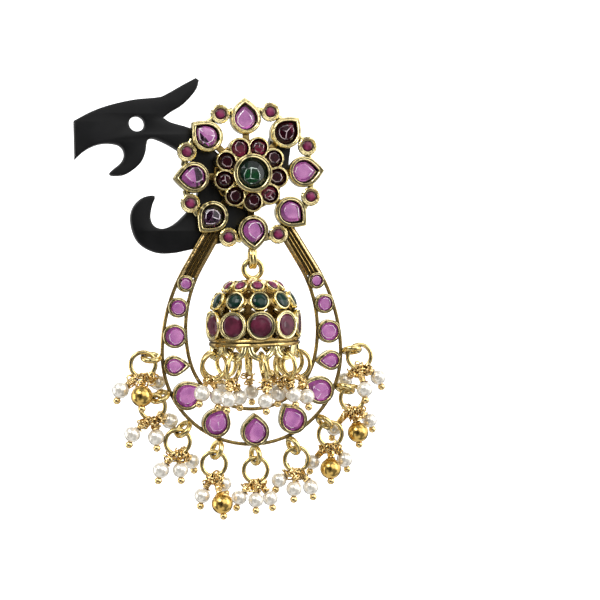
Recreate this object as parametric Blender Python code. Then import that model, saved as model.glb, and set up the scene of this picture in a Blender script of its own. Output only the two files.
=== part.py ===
"""Jhumka earring on the arm of its display stand.

Metres, +Z up. The face of the earring looks along -Y and +X is to its right.
The origin is the root of the ear post, on the back of the flower.
"""

import math

import bmesh
import bpy
from mathutils import Matrix, Vector

MM = 0.001

# Clearances
STONE_GAP = 0.2 * MM
LINK_GAP = 0.3 * MM
POST_GAP = 0.3 * MM

# Collets and stones
BORE_TAPER = 0.15
GIRDLE_DEPTH = 0.6 * MM
TABLE_DEPTH = 0.15 * MM
CULET_DEPTH = 1.5 * MM
TABLE_SHARE = 0.6
CULET_SHARE = 0.55
PEAR_SIDES = 10
ROUND_SIDES = 10
SMALL_SIDES = 8
TIP_SHARPNESS = 5

# Share of the faces that fused pieces keep
FUSED_SHARE = 0.75

# Flower
FLOWER_TURN = 2.5
PEAR_COUNT = 8
PEAR_WIDTH = 5.8 * MM
PEAR_LENGTH = 6.8 * MM
PEAR_WALL = 0.75 * MM
PEAR_HEIGHT = 2.2 * MM
PEAR_TIP_RADIUS = 14.35 * MM
BEAD_RADIUS = 1.8 * MM
BEAD_FOOT_RADIUS = 2.35 * MM
BEAD_STONE_RADIUS = 1.15 * MM
BEAD_HEIGHT = 2.0 * MM
BEAD_FOOT_DEPTH = 0.15 * MM
BEAD_FOOT_TOP = 0.6 * MM
BEAD_FOOT_SLOPE = 0.3 * MM
BEAD_GROOVE = 0.1 * MM
BEAD_STONE_SINK = 0.3 * MM
BEAD_STONE_DOME = 0.2 * MM
BEAD_RING_RADIUS = 12.4 * MM
PETAL_COUNT = 9
PETAL_WIDTH = 3.75 * MM
PETAL_LENGTH = 4.0 * MM
PETAL_WALL = 0.5 * MM
PETAL_FRONT = 3.6 * MM
PETAL_BACK = 0.3 * MM
PETAL_RING_RADIUS = 5.1 * MM
CENTRE_WIDTH = 7.3 * MM
CENTRE_WALL = 0.8 * MM
CENTRE_FRONT = 5.2 * MM
CENTRE_BACK = 0.5 * MM
BACK_DISC_RADIUS = 3.4 * MM
BACK_DISC_THICKNESS = 0.8 * MM
BACK_RING_RADIUS = 6.5 * MM
BACK_RING_WIRE = 1.0 * MM
BACK_RING_SEGMENTS = 16
STRUT_WIDTH = 1.6 * MM
STRUT_THICKNESS = 0.7 * MM
STRUT_DEPTH = 0.1 * MM

# Ear post and clutch
POST_DIAMETER = 1.0 * MM
POST_LENGTH = 11.0 * MM
POST_SIDES = 8
CLUTCH_DIAMETER = 5.5 * MM
CLUTCH_LENGTH = 3.6 * MM
CLUTCH_GAP = 0.2 * MM
CLUTCH_FLANGE = 0.8 * MM
CLUTCH_NECK_SHARE = 0.67
CLUTCH_SIDES = 12

# Hoop
HOOP_CENTRE_Z = -33.6 * MM
HOOP_OUTER_RADIUS = 17.4 * MM
HOOP_SIDE_BAND = 5.16 * MM
HOOP_INNER_WAIST_Z = -29.0 * MM
HOOP_INNER_BEND = 13.9
SHOULDER_END_Z = -17.0 * MM
HOOP_TOP_Z = -10.0 * MM
HOOP_HIGHEST_Z = -7.4 * MM
HOOP_OUTER_TOP_WIDTH = 16.285 * MM
HOOP_INNER_TOP_WIDTH = 10.395 * MM
OUTER_SHOULDER_STEPS = 7
OUTER_BOTTOM_STEPS = 18
INNER_SHOULDER_STEPS = 6
INNER_BOTTOM_STEPS = 12
HOOP_WIRE = 0.7 * MM
HOOP_WIRE_SIDES = 5
HOOP_PLANE = 0.8 * MM
HOOP_COLLET_HEIGHT = 2.1 * MM
HOOP_COLLET_WALL = 0.65 * MM
HOOP_PEAR_WIDTH = 5.4 * MM
HOOP_PEAR_LENGTH = 6.3 * MM
HOOP_PEAR_INSET = 2.7 * MM
HOOP_PEAR_STEP = 30.0
TEARDROP_WIDTH = 3.9 * MM
TEARDROP_LENGTH = 5.1 * MM
ARM_BOTTOM_Z = -18.85 * MM
ARM_THICKNESS = 1.1 * MM
ARM_RIB_HEIGHT = 0.35 * MM
ARM_RIBS = 4
ARM_SECTIONS = 4
ARM_SINK_SHARE = 0.4

# Round stones of each side of the hoop, at heights above the hoop's centre
HOOP_ROUNDS = (
    {"name": "small", "width": 3.2 * MM, "height": 13.5 * MM, "sides": SMALL_SIDES},
    {"name": "medium", "width": 3.8 * MM, "height": 9.1 * MM, "sides": SMALL_SIDES},
    {"name": "large", "width": 4.5 * MM, "height": 3.8 * MM, "sides": ROUND_SIDES},
)
TEARDROP_HEIGHT = -1.7 * MM

# Cast loops, jump rings and drops of the hoop's rim
LOOP_COUNT = 9
LOOP_STEP = 22.5
LOOP_RADIUS = 1.5 * MM
LOOP_WIRE = 0.9 * MM
LOOP_SINK = 0.2 * MM
LOOP_SEGMENTS = 8
CAST_SIDES = 4
RIM_RING_RADIUS = 2.35 * MM
RING_WIRE = 0.7 * MM
LINK_SEGMENTS = 10
LINK_SIDES = 5
PEARL_DIAMETER = 3.0 * MM
GOLD_BEAD_DIAMETER = 4.0 * MM
STEM_DIAMETER = 0.8 * MM
GOLD_PIN_END = 1.0 * MM
BEAD_SEGMENTS = 10
BEAD_BANDS = 4
STEM_SIDES = 4
DROP_REACH = 5.4 * MM
PIN_LEAN = 0.6

# Drops of each rim ring, from the ring's centre, as shares of the reach
RIM_DROPS = (
    (("pearl", -0.79, 0.00, 0.84), ("gold", -0.12, -0.50, 1.03), ("pearl", 0.54, 0.50, 0.66)),
    (("pearl", -0.72, 0.00, 0.90), ("pearl", 0.08, -0.10, 1.03), ("pearl", 0.61, 0.30, 0.53)),
    (("pearl", -0.60, 0.00, 0.94), ("pearl", 0.06, -0.10, 0.96), ("pearl", 0.51, 0.36, 0.74)),
    (("pearl", -0.44, 0.00, 1.08), ("gold", 0.20, -0.37, 1.33), ("pearl", 0.36, 0.22, 0.74)),
    (("pearl", -0.61, 0.00, 0.93), ("pearl", -0.07, -0.26, 1.01), ("pearl", 0.49, 0.00, 1.01)),
    (("pearl", -0.62, 0.11, 0.71), ("pearl", -0.15, -0.18, 1.00), ("pearl", 0.49, 0.00, 1.00)),
    (("pearl", -0.59, 0.37, 1.00), ("gold", -0.05, -0.15, 1.20), ("pearl", 0.54, 0.15, 0.94)),
    (("pearl", -0.56, 0.50, 1.11), ("gold", 0.17, -0.06, 1.22), ("pearl", 0.69, 0.26, 0.85)),
    (("pearl", -0.43, 0.50, 0.86), ("pearl", 0.05, -0.44, 1.14), ("pearl", 0.69, 0.07, 0.77)),
)

# Bail and bell
BELL_SIDE = 0.3 * MM
BELL_PLANE = 1.0 * MM
BAIL_RADIUS = 1.1 * MM
BAIL_STRETCH = 1.45
BAIL_TOP_Z = -13.6 * MM
BAIL_SEGMENTS = 8
BELL_RING_RADIUS = 1.7 * MM
BELL_RING_WIRE = 1.0 * MM
BELL_HEIGHT = 12.3 * MM
BELL_RADIUS = 8.55 * MM
BELL_WALL = 0.6 * MM
BELL_SEGMENTS = 20
BELL_STONES = 10
BELL_FIRST_AZIMUTH = -1.5
BELL_STONE_RISE = 0.5 * MM
BELL_STONE_CROWN = 0.25 * MM
BELL_TABLE_SHARE = 0.5
SCALLOP_DEPTH = 2.3 * MM
SCALLOP_WIRE = 0.8 * MM
SCALLOP_POINTS = 6
SCALLOP_SPAN = 0.96
BELL_LINK_RADIUS = 2.6 * MM
BELL_LINK_SET_IN = 0.4 * MM

# Outer turned shape of the bell, as shares of its radius and height from the top
BELL_SECTIONS = (
    {"radius": 0.15, "depth": 0.00},
    {"radius": 0.38, "depth": 0.03},
    {"radius": 0.66, "depth": 0.14},
    {"radius": 0.86, "depth": 0.34},
    {"radius": 0.96, "depth": 0.60},
    {"radius": 0.97, "depth": 0.86},
    {"radius": 1.00, "depth": 0.90},
    {"radius": 1.00, "depth": 1.00},
)

# Stone rows of the bell: depth as a share of its height, width as a share of its radius
BELL_ROWS = (
    {"depth": 0.10, "width": 0.31, "sides": 8},
    {"depth": 0.32, "width": 0.42, "sides": 8},
    {"depth": 0.68, "width": 0.63, "sides": 8},
)

# Pierced gaps of the bell between the stones of two rows, as shares of the same sizes
BELL_GAPS = (
    {"depth": 0.21, "width": 0.13, "height": 0.12, "corners": 4},
    {"depth": 0.49, "width": 0.17, "height": 0.20, "corners": 4},
    {"depth": 0.80, "width": 0.22, "height": 0.12, "corners": 3},
)

# Rings of the bell, from the front one round its right side. Each ring sways along the
# wall and flares away from it, in degrees, and its drops are shares of the reach: outwards,
# along the wall and downwards.
BELL_DROPS = (
    {"sway": 8, "flare": 0, "drops": (("pearl", -0.03, -0.12, 1.15),)},
    {"sway": 2, "flare": 0, "drops": (("pearl", 0.18, 0.17, 1.01), ("pearl", -0.41, 0.04, 0.98))},
    {"sway": -8, "flare": 4, "drops": (("pearl", 0.28, -0.07, 1.16),)},
    {"sway": 4, "flare": 0, "drops": (("pearl", 0.10, 0.47, 0.90),)},
    {"sway": 0, "flare": 0, "drops": (("pearl", 0.20, 0.26, 0.93),)},
    {"sway": 0, "flare": 0, "drops": (("pearl", 0.12, -0.09, 1.12),)},
    {"sway": 0, "flare": 0, "drops": (("pearl", 0.20, -0.02, 0.91),)},
    {"sway": 0, "flare": -6, "drops": (("pearl", -0.12, -0.11, 0.83),)},
    {"sway": -10, "flare": 10, "drops": (("pearl", 0.52, 0.53, 0.88), ("pearl", -0.09, 0.57, 0.91))},
    {"sway": -8, "flare": 4, "drops": (("pearl", 0.22, 0.08, 1.07), ("pearl", -0.42, 0.16, 1.01))},
)

# Display arm
DISPLAY_THICKNESS = 3.0 * MM
DISPLAY_WIDTH = 40.6 * MM
DISPLAY_HEIGHT = 32.7 * MM
DISPLAY_HOLE = 2.9 * MM
DISPLAY_HOLE_SIDES = 12
DISPLAY_HOLE_ALONG = -0.535
DISPLAY_HOLE_UP = 0.297
DISPLAY_CURVE_STEPS = 2
DISPLAY_SHIFT = 1.2 * MM

# Outline of the display arm, counter-clockwise: along and up, as shares of the width and the
# height. The whole arm then sits to the right of the post by the shift. A sharp row is a
# corner, and a soft row is rounded.
DISPLAY_OUTLINE = (
    (-0.818, 0.096, "sharp"), (-0.784, 0.135, "soft"), (-0.749, 0.163, "soft"),
    (-0.705, 0.183, "soft"), (-0.660, 0.187, "soft"), (-0.620, 0.177, "soft"),
    (-0.600, 0.153, "soft"), (-0.595, 0.115, "soft"), (-0.612, 0.076, "soft"),
    (-0.648, 0.039, "soft"), (-0.663, 0.019, "soft"), (-0.650, 0.005, "soft"),
    (-0.600, 0.008, "soft"), (-0.555, 0.037, "soft"), (-0.520, 0.078, "soft"),
    (-0.500, 0.130, "soft"), (-0.493, 0.180, "soft"), (-0.483, 0.209, "soft"),
    (-0.455, 0.213, "soft"), (-0.400, 0.184, "soft"), (-0.340, 0.138, "soft"),
    (-0.285, 0.080, "soft"), (-0.265, 0.000, "soft"), (-0.262, -0.090, "soft"),
    (-0.285, -0.160, "soft"), (-0.330, -0.226, "soft"), (-0.380, -0.278, "soft"),
    (-0.430, -0.299, "soft"), (-0.468, -0.282, "soft"), (-0.483, -0.235, "soft"),
    (-0.475, -0.170, "soft"), (-0.461, -0.126, "soft"), (-0.471, -0.110, "soft"),
    (-0.520, -0.124, "soft"), (-0.560, -0.175, "soft"), (-0.573, -0.250, "soft"),
    (-0.555, -0.345, "soft"), (-0.515, -0.403, "soft"), (-0.450, -0.438, "soft"),
    (-0.380, -0.440, "soft"), (-0.309, -0.424, "soft"), (-0.200, -0.398, "soft"),
    (-0.110, -0.375, "soft"), (-0.060, -0.325, "soft"), (-0.038, -0.255, "soft"),
    (-0.001, -0.184, "soft"), (0.053, -0.120, "soft"), (0.125, -0.056, "soft"),
    (0.162, 0.016, "soft"), (0.170, 0.088, "soft"), (0.178, 0.150, "soft"),
    (0.185, 0.230, "soft"), (0.150, 0.300, "soft"), (0.105, 0.290, "soft"),
    (0.085, 0.220, "soft"), (0.060, 0.140, "soft"), (-0.050, 0.105, "soft"),
    (-0.150, 0.115, "soft"), (-0.200, 0.180, "soft"), (-0.245, 0.245, "soft"),
    (-0.306, 0.278, "soft"), (-0.379, 0.304, "soft"), (-0.413, 0.330, "sharp"),
    (-0.378, 0.364, "soft"), (-0.316, 0.412, "soft"), (-0.261, 0.487, "soft"),
    (-0.245, 0.545, "sharp"), (-0.260, 0.557, "sharp"), (-0.318, 0.519, "soft"),
    (-0.403, 0.460, "soft"), (-0.443, 0.445, "soft"), (-0.545, 0.432, "soft"),
    (-0.653, 0.402, "soft"), (-0.738, 0.364, "soft"), (-0.818, 0.312, "sharp"),
)


def clear_scene():
    """Removes the objects that the scene starts with."""
    for item in list(bpy.data.objects):
        bpy.data.objects.remove(item, do_unlink=True)


def make_material(name, colour, metallic, roughness):
    """A Principled material with a colour given as linear red, green and blue."""
    material = bpy.data.materials.new(name)
    material.use_nodes = True
    shader = material.node_tree.nodes["Principled BSDF"]
    shader.inputs["Base Color"].default_value = (*colour, 1.0)
    shader.inputs["Metallic"].default_value = metallic
    shader.inputs["Roughness"].default_value = roughness
    material.diffuse_color = (*colour, 1.0)
    return material


def polar(radius, angle, depth=0.0, centre_z=0.0):
    """A point in the plane of the face, at an angle in degrees from +X towards +Z."""
    turn = math.radians(angle)
    return Vector((radius * math.cos(turn), -depth, centre_z + radius * math.sin(turn)))


def add_object(name, mesh, material=None):
    """Links a mesh to the scene as an object."""
    item = bpy.data.objects.new(name, mesh)
    bpy.context.scene.collection.objects.link(item)
    if material is not None:
        mesh.materials.append(material)
    return item


def finish_mesh(name, shape, smooth_angle=40.0):
    """Turns a bmesh into a mesh with its faces pointing out."""
    bmesh.ops.recalc_face_normals(shape, faces=shape.faces)
    mesh = bpy.data.meshes.new(name)
    shape.to_mesh(mesh)
    shape.free()
    mesh.shade_smooth()
    mesh.set_sharp_from_angle(angle=math.radians(smooth_angle))
    return mesh


def loft(name, rings, round_trip=False):
    """A closed solid through rings of points, capped at its ends or joined end to end."""
    shape = bmesh.new()
    rows = [[shape.verts.new(point) for point in ring] for ring in rings]
    pairs = list(zip(rows, rows[1:]))
    if round_trip:
        pairs.append((rows[-1], rows[0]))
    for low, high in pairs:
        count = len(low)
        for index in range(count):
            after = (index + 1) % count
            shape.faces.new((low[index], low[after], high[after], high[index]))
    if not round_trip:
        shape.faces.new(list(reversed(rows[0])))
        shape.faces.new(rows[-1])
    return finish_mesh(name, shape)


def tube(name, path, normal, wire, sides, closed):
    """A round wire along points that lie in a plane with the given normal."""
    rings = []
    count = len(path)
    for index, point in enumerate(path):
        before = path[index - 1] if closed or index > 0 else path[index]
        after = path[(index + 1) % count] if closed or index < count - 1 else path[index]
        along = (after - before).normalized()
        across = along.cross(normal).normalized()
        rings.append([
            point + (across * math.cos(turn) + normal * math.sin(turn)) * wire / 2
            for turn in (2 * math.pi * side / sides for side in range(sides))
        ])
    return loft(name, rings, round_trip=closed)


def link(name, centre, radius, wire, first, second, segments=LINK_SEGMENTS, sides=LINK_SIDES):
    """A round or oval link in the plane of two directions, with a corner on the first."""
    path = []
    for index in range(segments):
        turn = 2 * math.pi * index / segments
        path.append(centre + (first * math.cos(turn) + second * math.sin(turn)) * radius)
    normal = first.cross(second).normalized()
    return tube(name, path, normal, wire, sides, closed=True)


def helper(item):
    """Marks an object that only shapes another one."""
    item.hide_render = True
    item.display_type = "WIRE"
    return item


def combine(item, others, operation):
    """Joins other objects to an object, or cuts them out of it."""
    group = bpy.data.collections.new(item.name + "_" + operation.lower())
    bpy.context.scene.collection.children.link(group)
    for other in others:
        group.objects.link(helper(other))
    modifier = item.modifiers.new(operation.title(), "BOOLEAN")
    modifier.operation = operation
    modifier.operand_type = "COLLECTION"
    modifier.collection = group
    modifier.solver = "EXACT"
    return item


def thin_out(item, share):
    """Takes out the slivers that the joints leave, down to a share of the faces."""
    modifier = item.modifiers.new("Slivers", "DECIMATE")
    modifier.ratio = share
    return item


def fuse(name, meshes, material):
    """One solid from meshes that run into each other."""
    base = add_object(name, meshes[0], material)
    others = [add_object(name + "_part", mesh, material) for mesh in meshes[1:]]
    combine(base, others, "UNION")
    return thin_out(base, FUSED_SHARE)


def gem_outline(centre, towards, width, length, sides, pointed):
    """Points around a stone or a collet, with its long end in the given direction.

    A pointed outline is a circle drawn out to a tip, and any other one is an ellipse.
    """
    across = Vector((-towards.z, 0.0, towards.x))
    points = []
    for index in range(sides):
        turn = 2 * math.pi * index / sides
        if pointed:
            reach = 1.0 + (2 * length / width - 2) * max(0.0, math.cos(turn)) ** TIP_SHARPNESS
            forward = width / 2 * reach * math.cos(turn)
            aside = width / 2 * reach * math.sin(turn)
        else:
            forward = length / 2 * math.cos(turn)
            aside = width / 2 * math.sin(turn)
        points.append(centre + towards * forward + across * aside)
    return points


class Seat:
    """A collet and the stone in it, standing forward of a back plane."""

    def __init__(self, name, centre, towards, width, length, wall, back, front, sides, pointed):
        self.name = name
        self.centre = centre
        self.towards = towards
        self.width = width
        self.length = length
        self.wall = wall
        self.back = back
        self.front = front
        self.sides = sides
        self.pointed = pointed

    def ring(self, inset, depth, share=1.0):
        """The outline set in by a distance and scaled by a share, at a depth from the face."""
        centre = Vector((self.centre.x, -depth, self.centre.z))
        width = (self.width - 2 * inset) * share
        length = (self.length - 2 * inset) * share
        return gem_outline(centre, self.towards, width, length, self.sides, self.pointed)

    def collet(self):
        """An open-backed wall whose bore narrows towards the back."""
        bore_back = self.wall + BORE_TAPER * (self.front - self.back)
        return loft(self.name + "_collet", [
            self.ring(0.0, self.back),
            self.ring(0.0, self.front),
            self.ring(self.wall, self.front),
            self.ring(bore_back, self.back),
        ], round_trip=True)

    def stone(self):
        """A cut stone with a table, a crown, a girdle and a flat culet."""
        inset = self.wall + BORE_TAPER * GIRDLE_DEPTH + STONE_GAP
        return loft(self.name, [
            self.ring(inset, self.front - CULET_DEPTH, CULET_SHARE),
            self.ring(inset, self.front - GIRDLE_DEPTH),
            self.ring(inset, self.front - TABLE_DEPTH, TABLE_SHARE),
        ])


def outward(angle):
    """The unit direction at an angle in the plane of the face."""
    return polar(1.0, angle)


def flower_seats():
    """Collets of the flower that hold a stone of their own."""
    seats = []
    pear_centre = PEAR_TIP_RADIUS - PEAR_LENGTH + PEAR_WIDTH / 2
    for index in range(PEAR_COUNT):
        angle = 90.0 + FLOWER_TURN - index * 360.0 / PEAR_COUNT
        seats.append(Seat(
            f"flower_pear_stone_{index + 1}", polar(pear_centre, angle), outward(angle),
            PEAR_WIDTH, PEAR_LENGTH, PEAR_WALL, 0.0, PEAR_HEIGHT, PEAR_SIDES, True))
    for index in range(PETAL_COUNT):
        angle = -90.0 + FLOWER_TURN + index * 360.0 / PETAL_COUNT
        seats.append(Seat(
            f"flower_petal_stone_{index + 1}", polar(PETAL_RING_RADIUS, angle), outward(angle),
            PETAL_WIDTH, PETAL_LENGTH, PETAL_WALL, PETAL_BACK, PETAL_FRONT, SMALL_SIDES, False))
    seats.append(Seat(
        "flower_centre_stone", Vector(), outward(90.0), CENTRE_WIDTH, CENTRE_WIDTH,
        CENTRE_WALL, CENTRE_BACK, CENTRE_FRONT, ROUND_SIDES, False))
    return seats


def shoulder_half_width(side, radius, rise, end):
    """Half width at a rise above an arc's widest place, with a straight run past its end."""
    held = min(rise, end)
    drop = math.sqrt(radius ** 2 - held ** 2)
    return side - radius + drop - (rise - held) * held / drop


def shoulder_radius(side, end, top_rise, top_half_width):
    """Radius of the arc whose straight run past its end meets a half width at the top."""
    small = 1.01 * end
    large = 100 * end
    for _ in range(50):
        middle = (small + large) / 2
        if shoulder_half_width(side, middle, top_rise, end) < top_half_width:
            small = middle
        else:
            large = middle
    return small


def outer_half_width(height):
    """Half width of the outer wire's middle, at a height above the hoop's centre."""
    side = HOOP_OUTER_RADIUS - HOOP_WIRE / 2
    end = SHOULDER_END_Z - HOOP_CENTRE_Z
    radius = shoulder_radius(side, end, HOOP_TOP_Z - HOOP_CENTRE_Z, HOOP_OUTER_TOP_WIDTH / 2)
    return shoulder_half_width(side, radius, height, end)


def inner_shoulder():
    """Half width of the inner wire's waist, and the radius of the arc above it."""
    side = HOOP_OUTER_RADIUS - HOOP_SIDE_BAND + HOOP_WIRE / 2
    end = SHOULDER_END_Z - HOOP_INNER_WAIST_Z
    rise = HOOP_TOP_Z - HOOP_INNER_WAIST_Z
    return side, shoulder_radius(side, end, rise, HOOP_INNER_TOP_WIDTH / 2)


def inner_half_width(height):
    """Half width of the inner wire's middle, at a height above the hoop's centre."""
    side, radius = inner_shoulder()
    rise = height + HOOP_CENTRE_Z - HOOP_INNER_WAIST_Z
    return shoulder_half_width(side, radius, rise, SHOULDER_END_Z - HOOP_INNER_WAIST_Z)


def hoop_seats():
    """Collets of the hoop, each with a stone of its own."""
    seats = []
    for side, label in ((-1, "left"), (1, "right")):
        for row in HOOP_ROUNDS:
            middle = (outer_half_width(row["height"]) + inner_half_width(row["height"])) / 2
            centre = Vector((side * middle, 0.0, HOOP_CENTRE_Z + row["height"]))
            seats.append(Seat(
                f"hoop_{row['name']}_stone_{label}", centre, outward(90.0), row["width"],
                row["width"], HOOP_COLLET_WALL, 0.0, HOOP_COLLET_HEIGHT, row["sides"], False))
        shift = (TEARDROP_LENGTH - TEARDROP_WIDTH) / 2
        middle = (outer_half_width(0.0) + inner_half_width(TEARDROP_HEIGHT)) / 2 + shift
        centre = Vector((side * middle, 0.0, HOOP_CENTRE_Z + TEARDROP_HEIGHT))
        seats.append(Seat(
            f"hoop_teardrop_stone_{label}", centre, outward(90.0 + side * 90.0),
            TEARDROP_WIDTH, TEARDROP_LENGTH, HOOP_COLLET_WALL, 0.0, HOOP_COLLET_HEIGHT,
            PEAR_SIDES, True))
    for index in range(-2, 3):
        angle = -90.0 + index * HOOP_PEAR_STEP
        centre = polar(HOOP_OUTER_RADIUS - HOOP_PEAR_INSET, angle, 0.0, HOOP_CENTRE_Z)
        seats.append(Seat(
            f"hoop_pear_stone_{index + 3}", centre, outward(angle + 180.0), HOOP_PEAR_WIDTH,
            HOOP_PEAR_LENGTH, HOOP_COLLET_WALL, 0.0, HOOP_COLLET_HEIGHT, PEAR_SIDES, True))
    return seats


def bead_cup(index):
    """A small round of the flower: its cup with a domed stone fused in."""
    angle = 90.0 + FLOWER_TURN + (index + 0.5) * 360.0 / PEAR_COUNT
    centre = polar(BEAD_RING_RADIUS, angle)
    profile = (
        (BEAD_FOOT_RADIUS, BEAD_FOOT_DEPTH),
        (BEAD_FOOT_RADIUS, BEAD_FOOT_TOP),
        (BEAD_RADIUS, BEAD_FOOT_TOP + BEAD_FOOT_SLOPE),
        (BEAD_RADIUS, BEAD_HEIGHT),
        (BEAD_STONE_RADIUS + BEAD_GROOVE, BEAD_HEIGHT),
        (BEAD_STONE_RADIUS, BEAD_HEIGHT - BEAD_STONE_SINK),
        (BEAD_STONE_RADIUS / 2, BEAD_HEIGHT + BEAD_STONE_DOME),
    )
    rings = []
    for radius, depth in profile:
        middle = Vector((centre.x, -depth, centre.z))
        rings.append(gem_outline(middle, outward(angle), 2 * radius, 2 * radius, SMALL_SIDES, False))
    return loft("bead_cup", rings)


def disc(name, radius, front, back, sides):
    """A round plate or pin between two depths, on the flower's axis."""
    rings = []
    for depth in (front, back):
        rings.append([polar(radius, 360.0 * side / sides, depth) for side in range(sides)])
    return loft(name, rings)


def pear_strut(angle):
    """A flat bar behind the flower, from the back ring into the wall of a pear's collet."""
    aside = outward(angle + 90.0) * STRUT_WIDTH / 2
    end = PEAR_TIP_RADIUS - PEAR_LENGTH + PEAR_WALL / 2
    rings = []
    for reach in (BACK_RING_RADIUS, end):
        near = polar(reach, angle, STRUT_DEPTH)
        far = near - Vector((0, STRUT_THICKNESS, 0))
        rings.append([near - aside, near + aside, far + aside, far - aside])
    return loft("pear_strut", rings)


def wire_top(half_width, seat, inset):
    """Height above the hoop's centre where a wire runs into the wall of a flower's seat."""
    low = 0.0
    high = HOOP_HIGHEST_Z - HOOP_CENTRE_Z
    reach = seat.width / 2 - inset
    side = 1 if seat.centre.x > 0 else -1
    for _ in range(40):
        middle = (low + high) / 2
        point = Vector((side * half_width(middle), 0.0, HOOP_CENTRE_Z + middle))
        if (point - seat.centre).length > reach:
            low = middle
        else:
            high = middle
    return low


def outer_wire(left_top, right_top):
    """The outer wire, from the flower's left side around the hoop to its right side."""
    radius = HOOP_OUTER_RADIUS - HOOP_WIRE / 2
    path = []
    for index in range(OUTER_SHOULDER_STEPS):
        height = left_top * (1 - index / OUTER_SHOULDER_STEPS)
        path.append(Vector((-outer_half_width(height), -HOOP_PLANE, HOOP_CENTRE_Z + height)))
    for index in range(OUTER_BOTTOM_STEPS + 1):
        angle = 180.0 + 180.0 * index / OUTER_BOTTOM_STEPS
        path.append(polar(radius, angle, HOOP_PLANE, HOOP_CENTRE_Z))
    for index in range(1, OUTER_SHOULDER_STEPS + 1):
        height = right_top * index / OUTER_SHOULDER_STEPS
        path.append(Vector((outer_half_width(height), -HOOP_PLANE, HOOP_CENTRE_Z + height)))
    return tube("outer_wire", path, Vector((0, 1, 0)), HOOP_WIRE, HOOP_WIRE_SIDES, False)


def inner_wire(left_top, right_top):
    """The inner wire, which bends from the shoulders into a tighter round bottom."""
    bend = math.radians(HOOP_INNER_BEND)
    _, arc_radius = inner_shoulder()
    waist = HOOP_INNER_WAIST_Z - HOOP_CENTRE_Z
    low = waist - arc_radius * math.sin(bend)
    radius = inner_half_width(low) / math.cos(bend)
    centre_z = HOOP_CENTRE_Z + low + radius * math.sin(bend)
    path = []
    for index in range(INNER_SHOULDER_STEPS):
        height = left_top + (low - left_top) * index / INNER_SHOULDER_STEPS
        path.append(Vector((-inner_half_width(height), -HOOP_PLANE, HOOP_CENTRE_Z + height)))
    for index in range(INNER_BOTTOM_STEPS + 1):
        share = index / INNER_BOTTOM_STEPS
        angle = 180.0 + HOOP_INNER_BEND + (180.0 - 2 * HOOP_INNER_BEND) * share
        path.append(polar(radius, angle, HOOP_PLANE, centre_z))
    for index in range(1, INNER_SHOULDER_STEPS + 1):
        height = low + (right_top - low) * index / INNER_SHOULDER_STEPS
        path.append(Vector((inner_half_width(height), -HOOP_PLANE, HOOP_CENTRE_Z + height)))
    return tube("inner_wire", path, Vector((0, 1, 0)), HOOP_WIRE, HOOP_WIRE_SIDES, False)


def ribbed_arm(side, top):
    """The ribbed strip between the two wires, from the first stone up to the flower."""
    bottom = ARM_BOTTOM_Z - HOOP_CENTRE_Z
    back = HOOP_PLANE - ARM_THICKNESS / 2
    front = HOOP_PLANE + ARM_THICKNESS / 2
    rings = []
    for section in range(ARM_SECTIONS):
        height = bottom + (top - bottom) * section / (ARM_SECTIONS - 1)
        inner = inner_half_width(height)
        outer = outer_half_width(height)
        z = HOOP_CENTRE_Z + height
        ring = [Vector((side * outer, -back, z)), Vector((side * inner, -back, z))]
        steps = 2 * ARM_RIBS
        for step in range(steps + 1):
            x = inner + (outer - inner) * step / steps
            depth = front + (ARM_RIB_HEIGHT if step % 2 else 0.0)
            ring.append(Vector((side * x, -depth, z)))
        rings.append(ring)
    return loft("ribbed_arm", rings)


def loop_angle(index):
    """Angle of a rim loop around the hoop's centre, from the left side round the bottom."""
    return 180.0 + index * LOOP_STEP


def loop_centre(index):
    """Centre of a rim loop, whose inner end sinks into the outer wire."""
    reach = HOOP_OUTER_RADIUS - LOOP_SINK + LOOP_WIRE / 2 + LOOP_RADIUS
    return polar(reach, loop_angle(index), BELL_PLANE, HOOP_CENTRE_Z)


def bail_centre():
    """Centre of the cast loop below the flower that carries the bell."""
    drop = BAIL_RADIUS * BAIL_STRETCH + LOOP_WIRE / 2
    return Vector((BELL_SIDE, -BELL_PLANE, BAIL_TOP_Z - drop))


def bell_ring_centre():
    """Centre of the ring on top of the bell, which hangs in the bail."""
    bar = bail_centre().z - BAIL_RADIUS * BAIL_STRETCH + LOOP_WIRE / 2
    top = bar + LINK_GAP + BELL_RING_WIRE / 2
    return Vector((BELL_SIDE, -BELL_PLANE, top - BELL_RING_RADIUS))


def bell_top():
    """Top of the bell's shell, into which its ring is soldered."""
    return bell_ring_centre() - Vector((0, 0, BELL_RING_RADIUS + BELL_RING_WIRE / 4))


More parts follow.
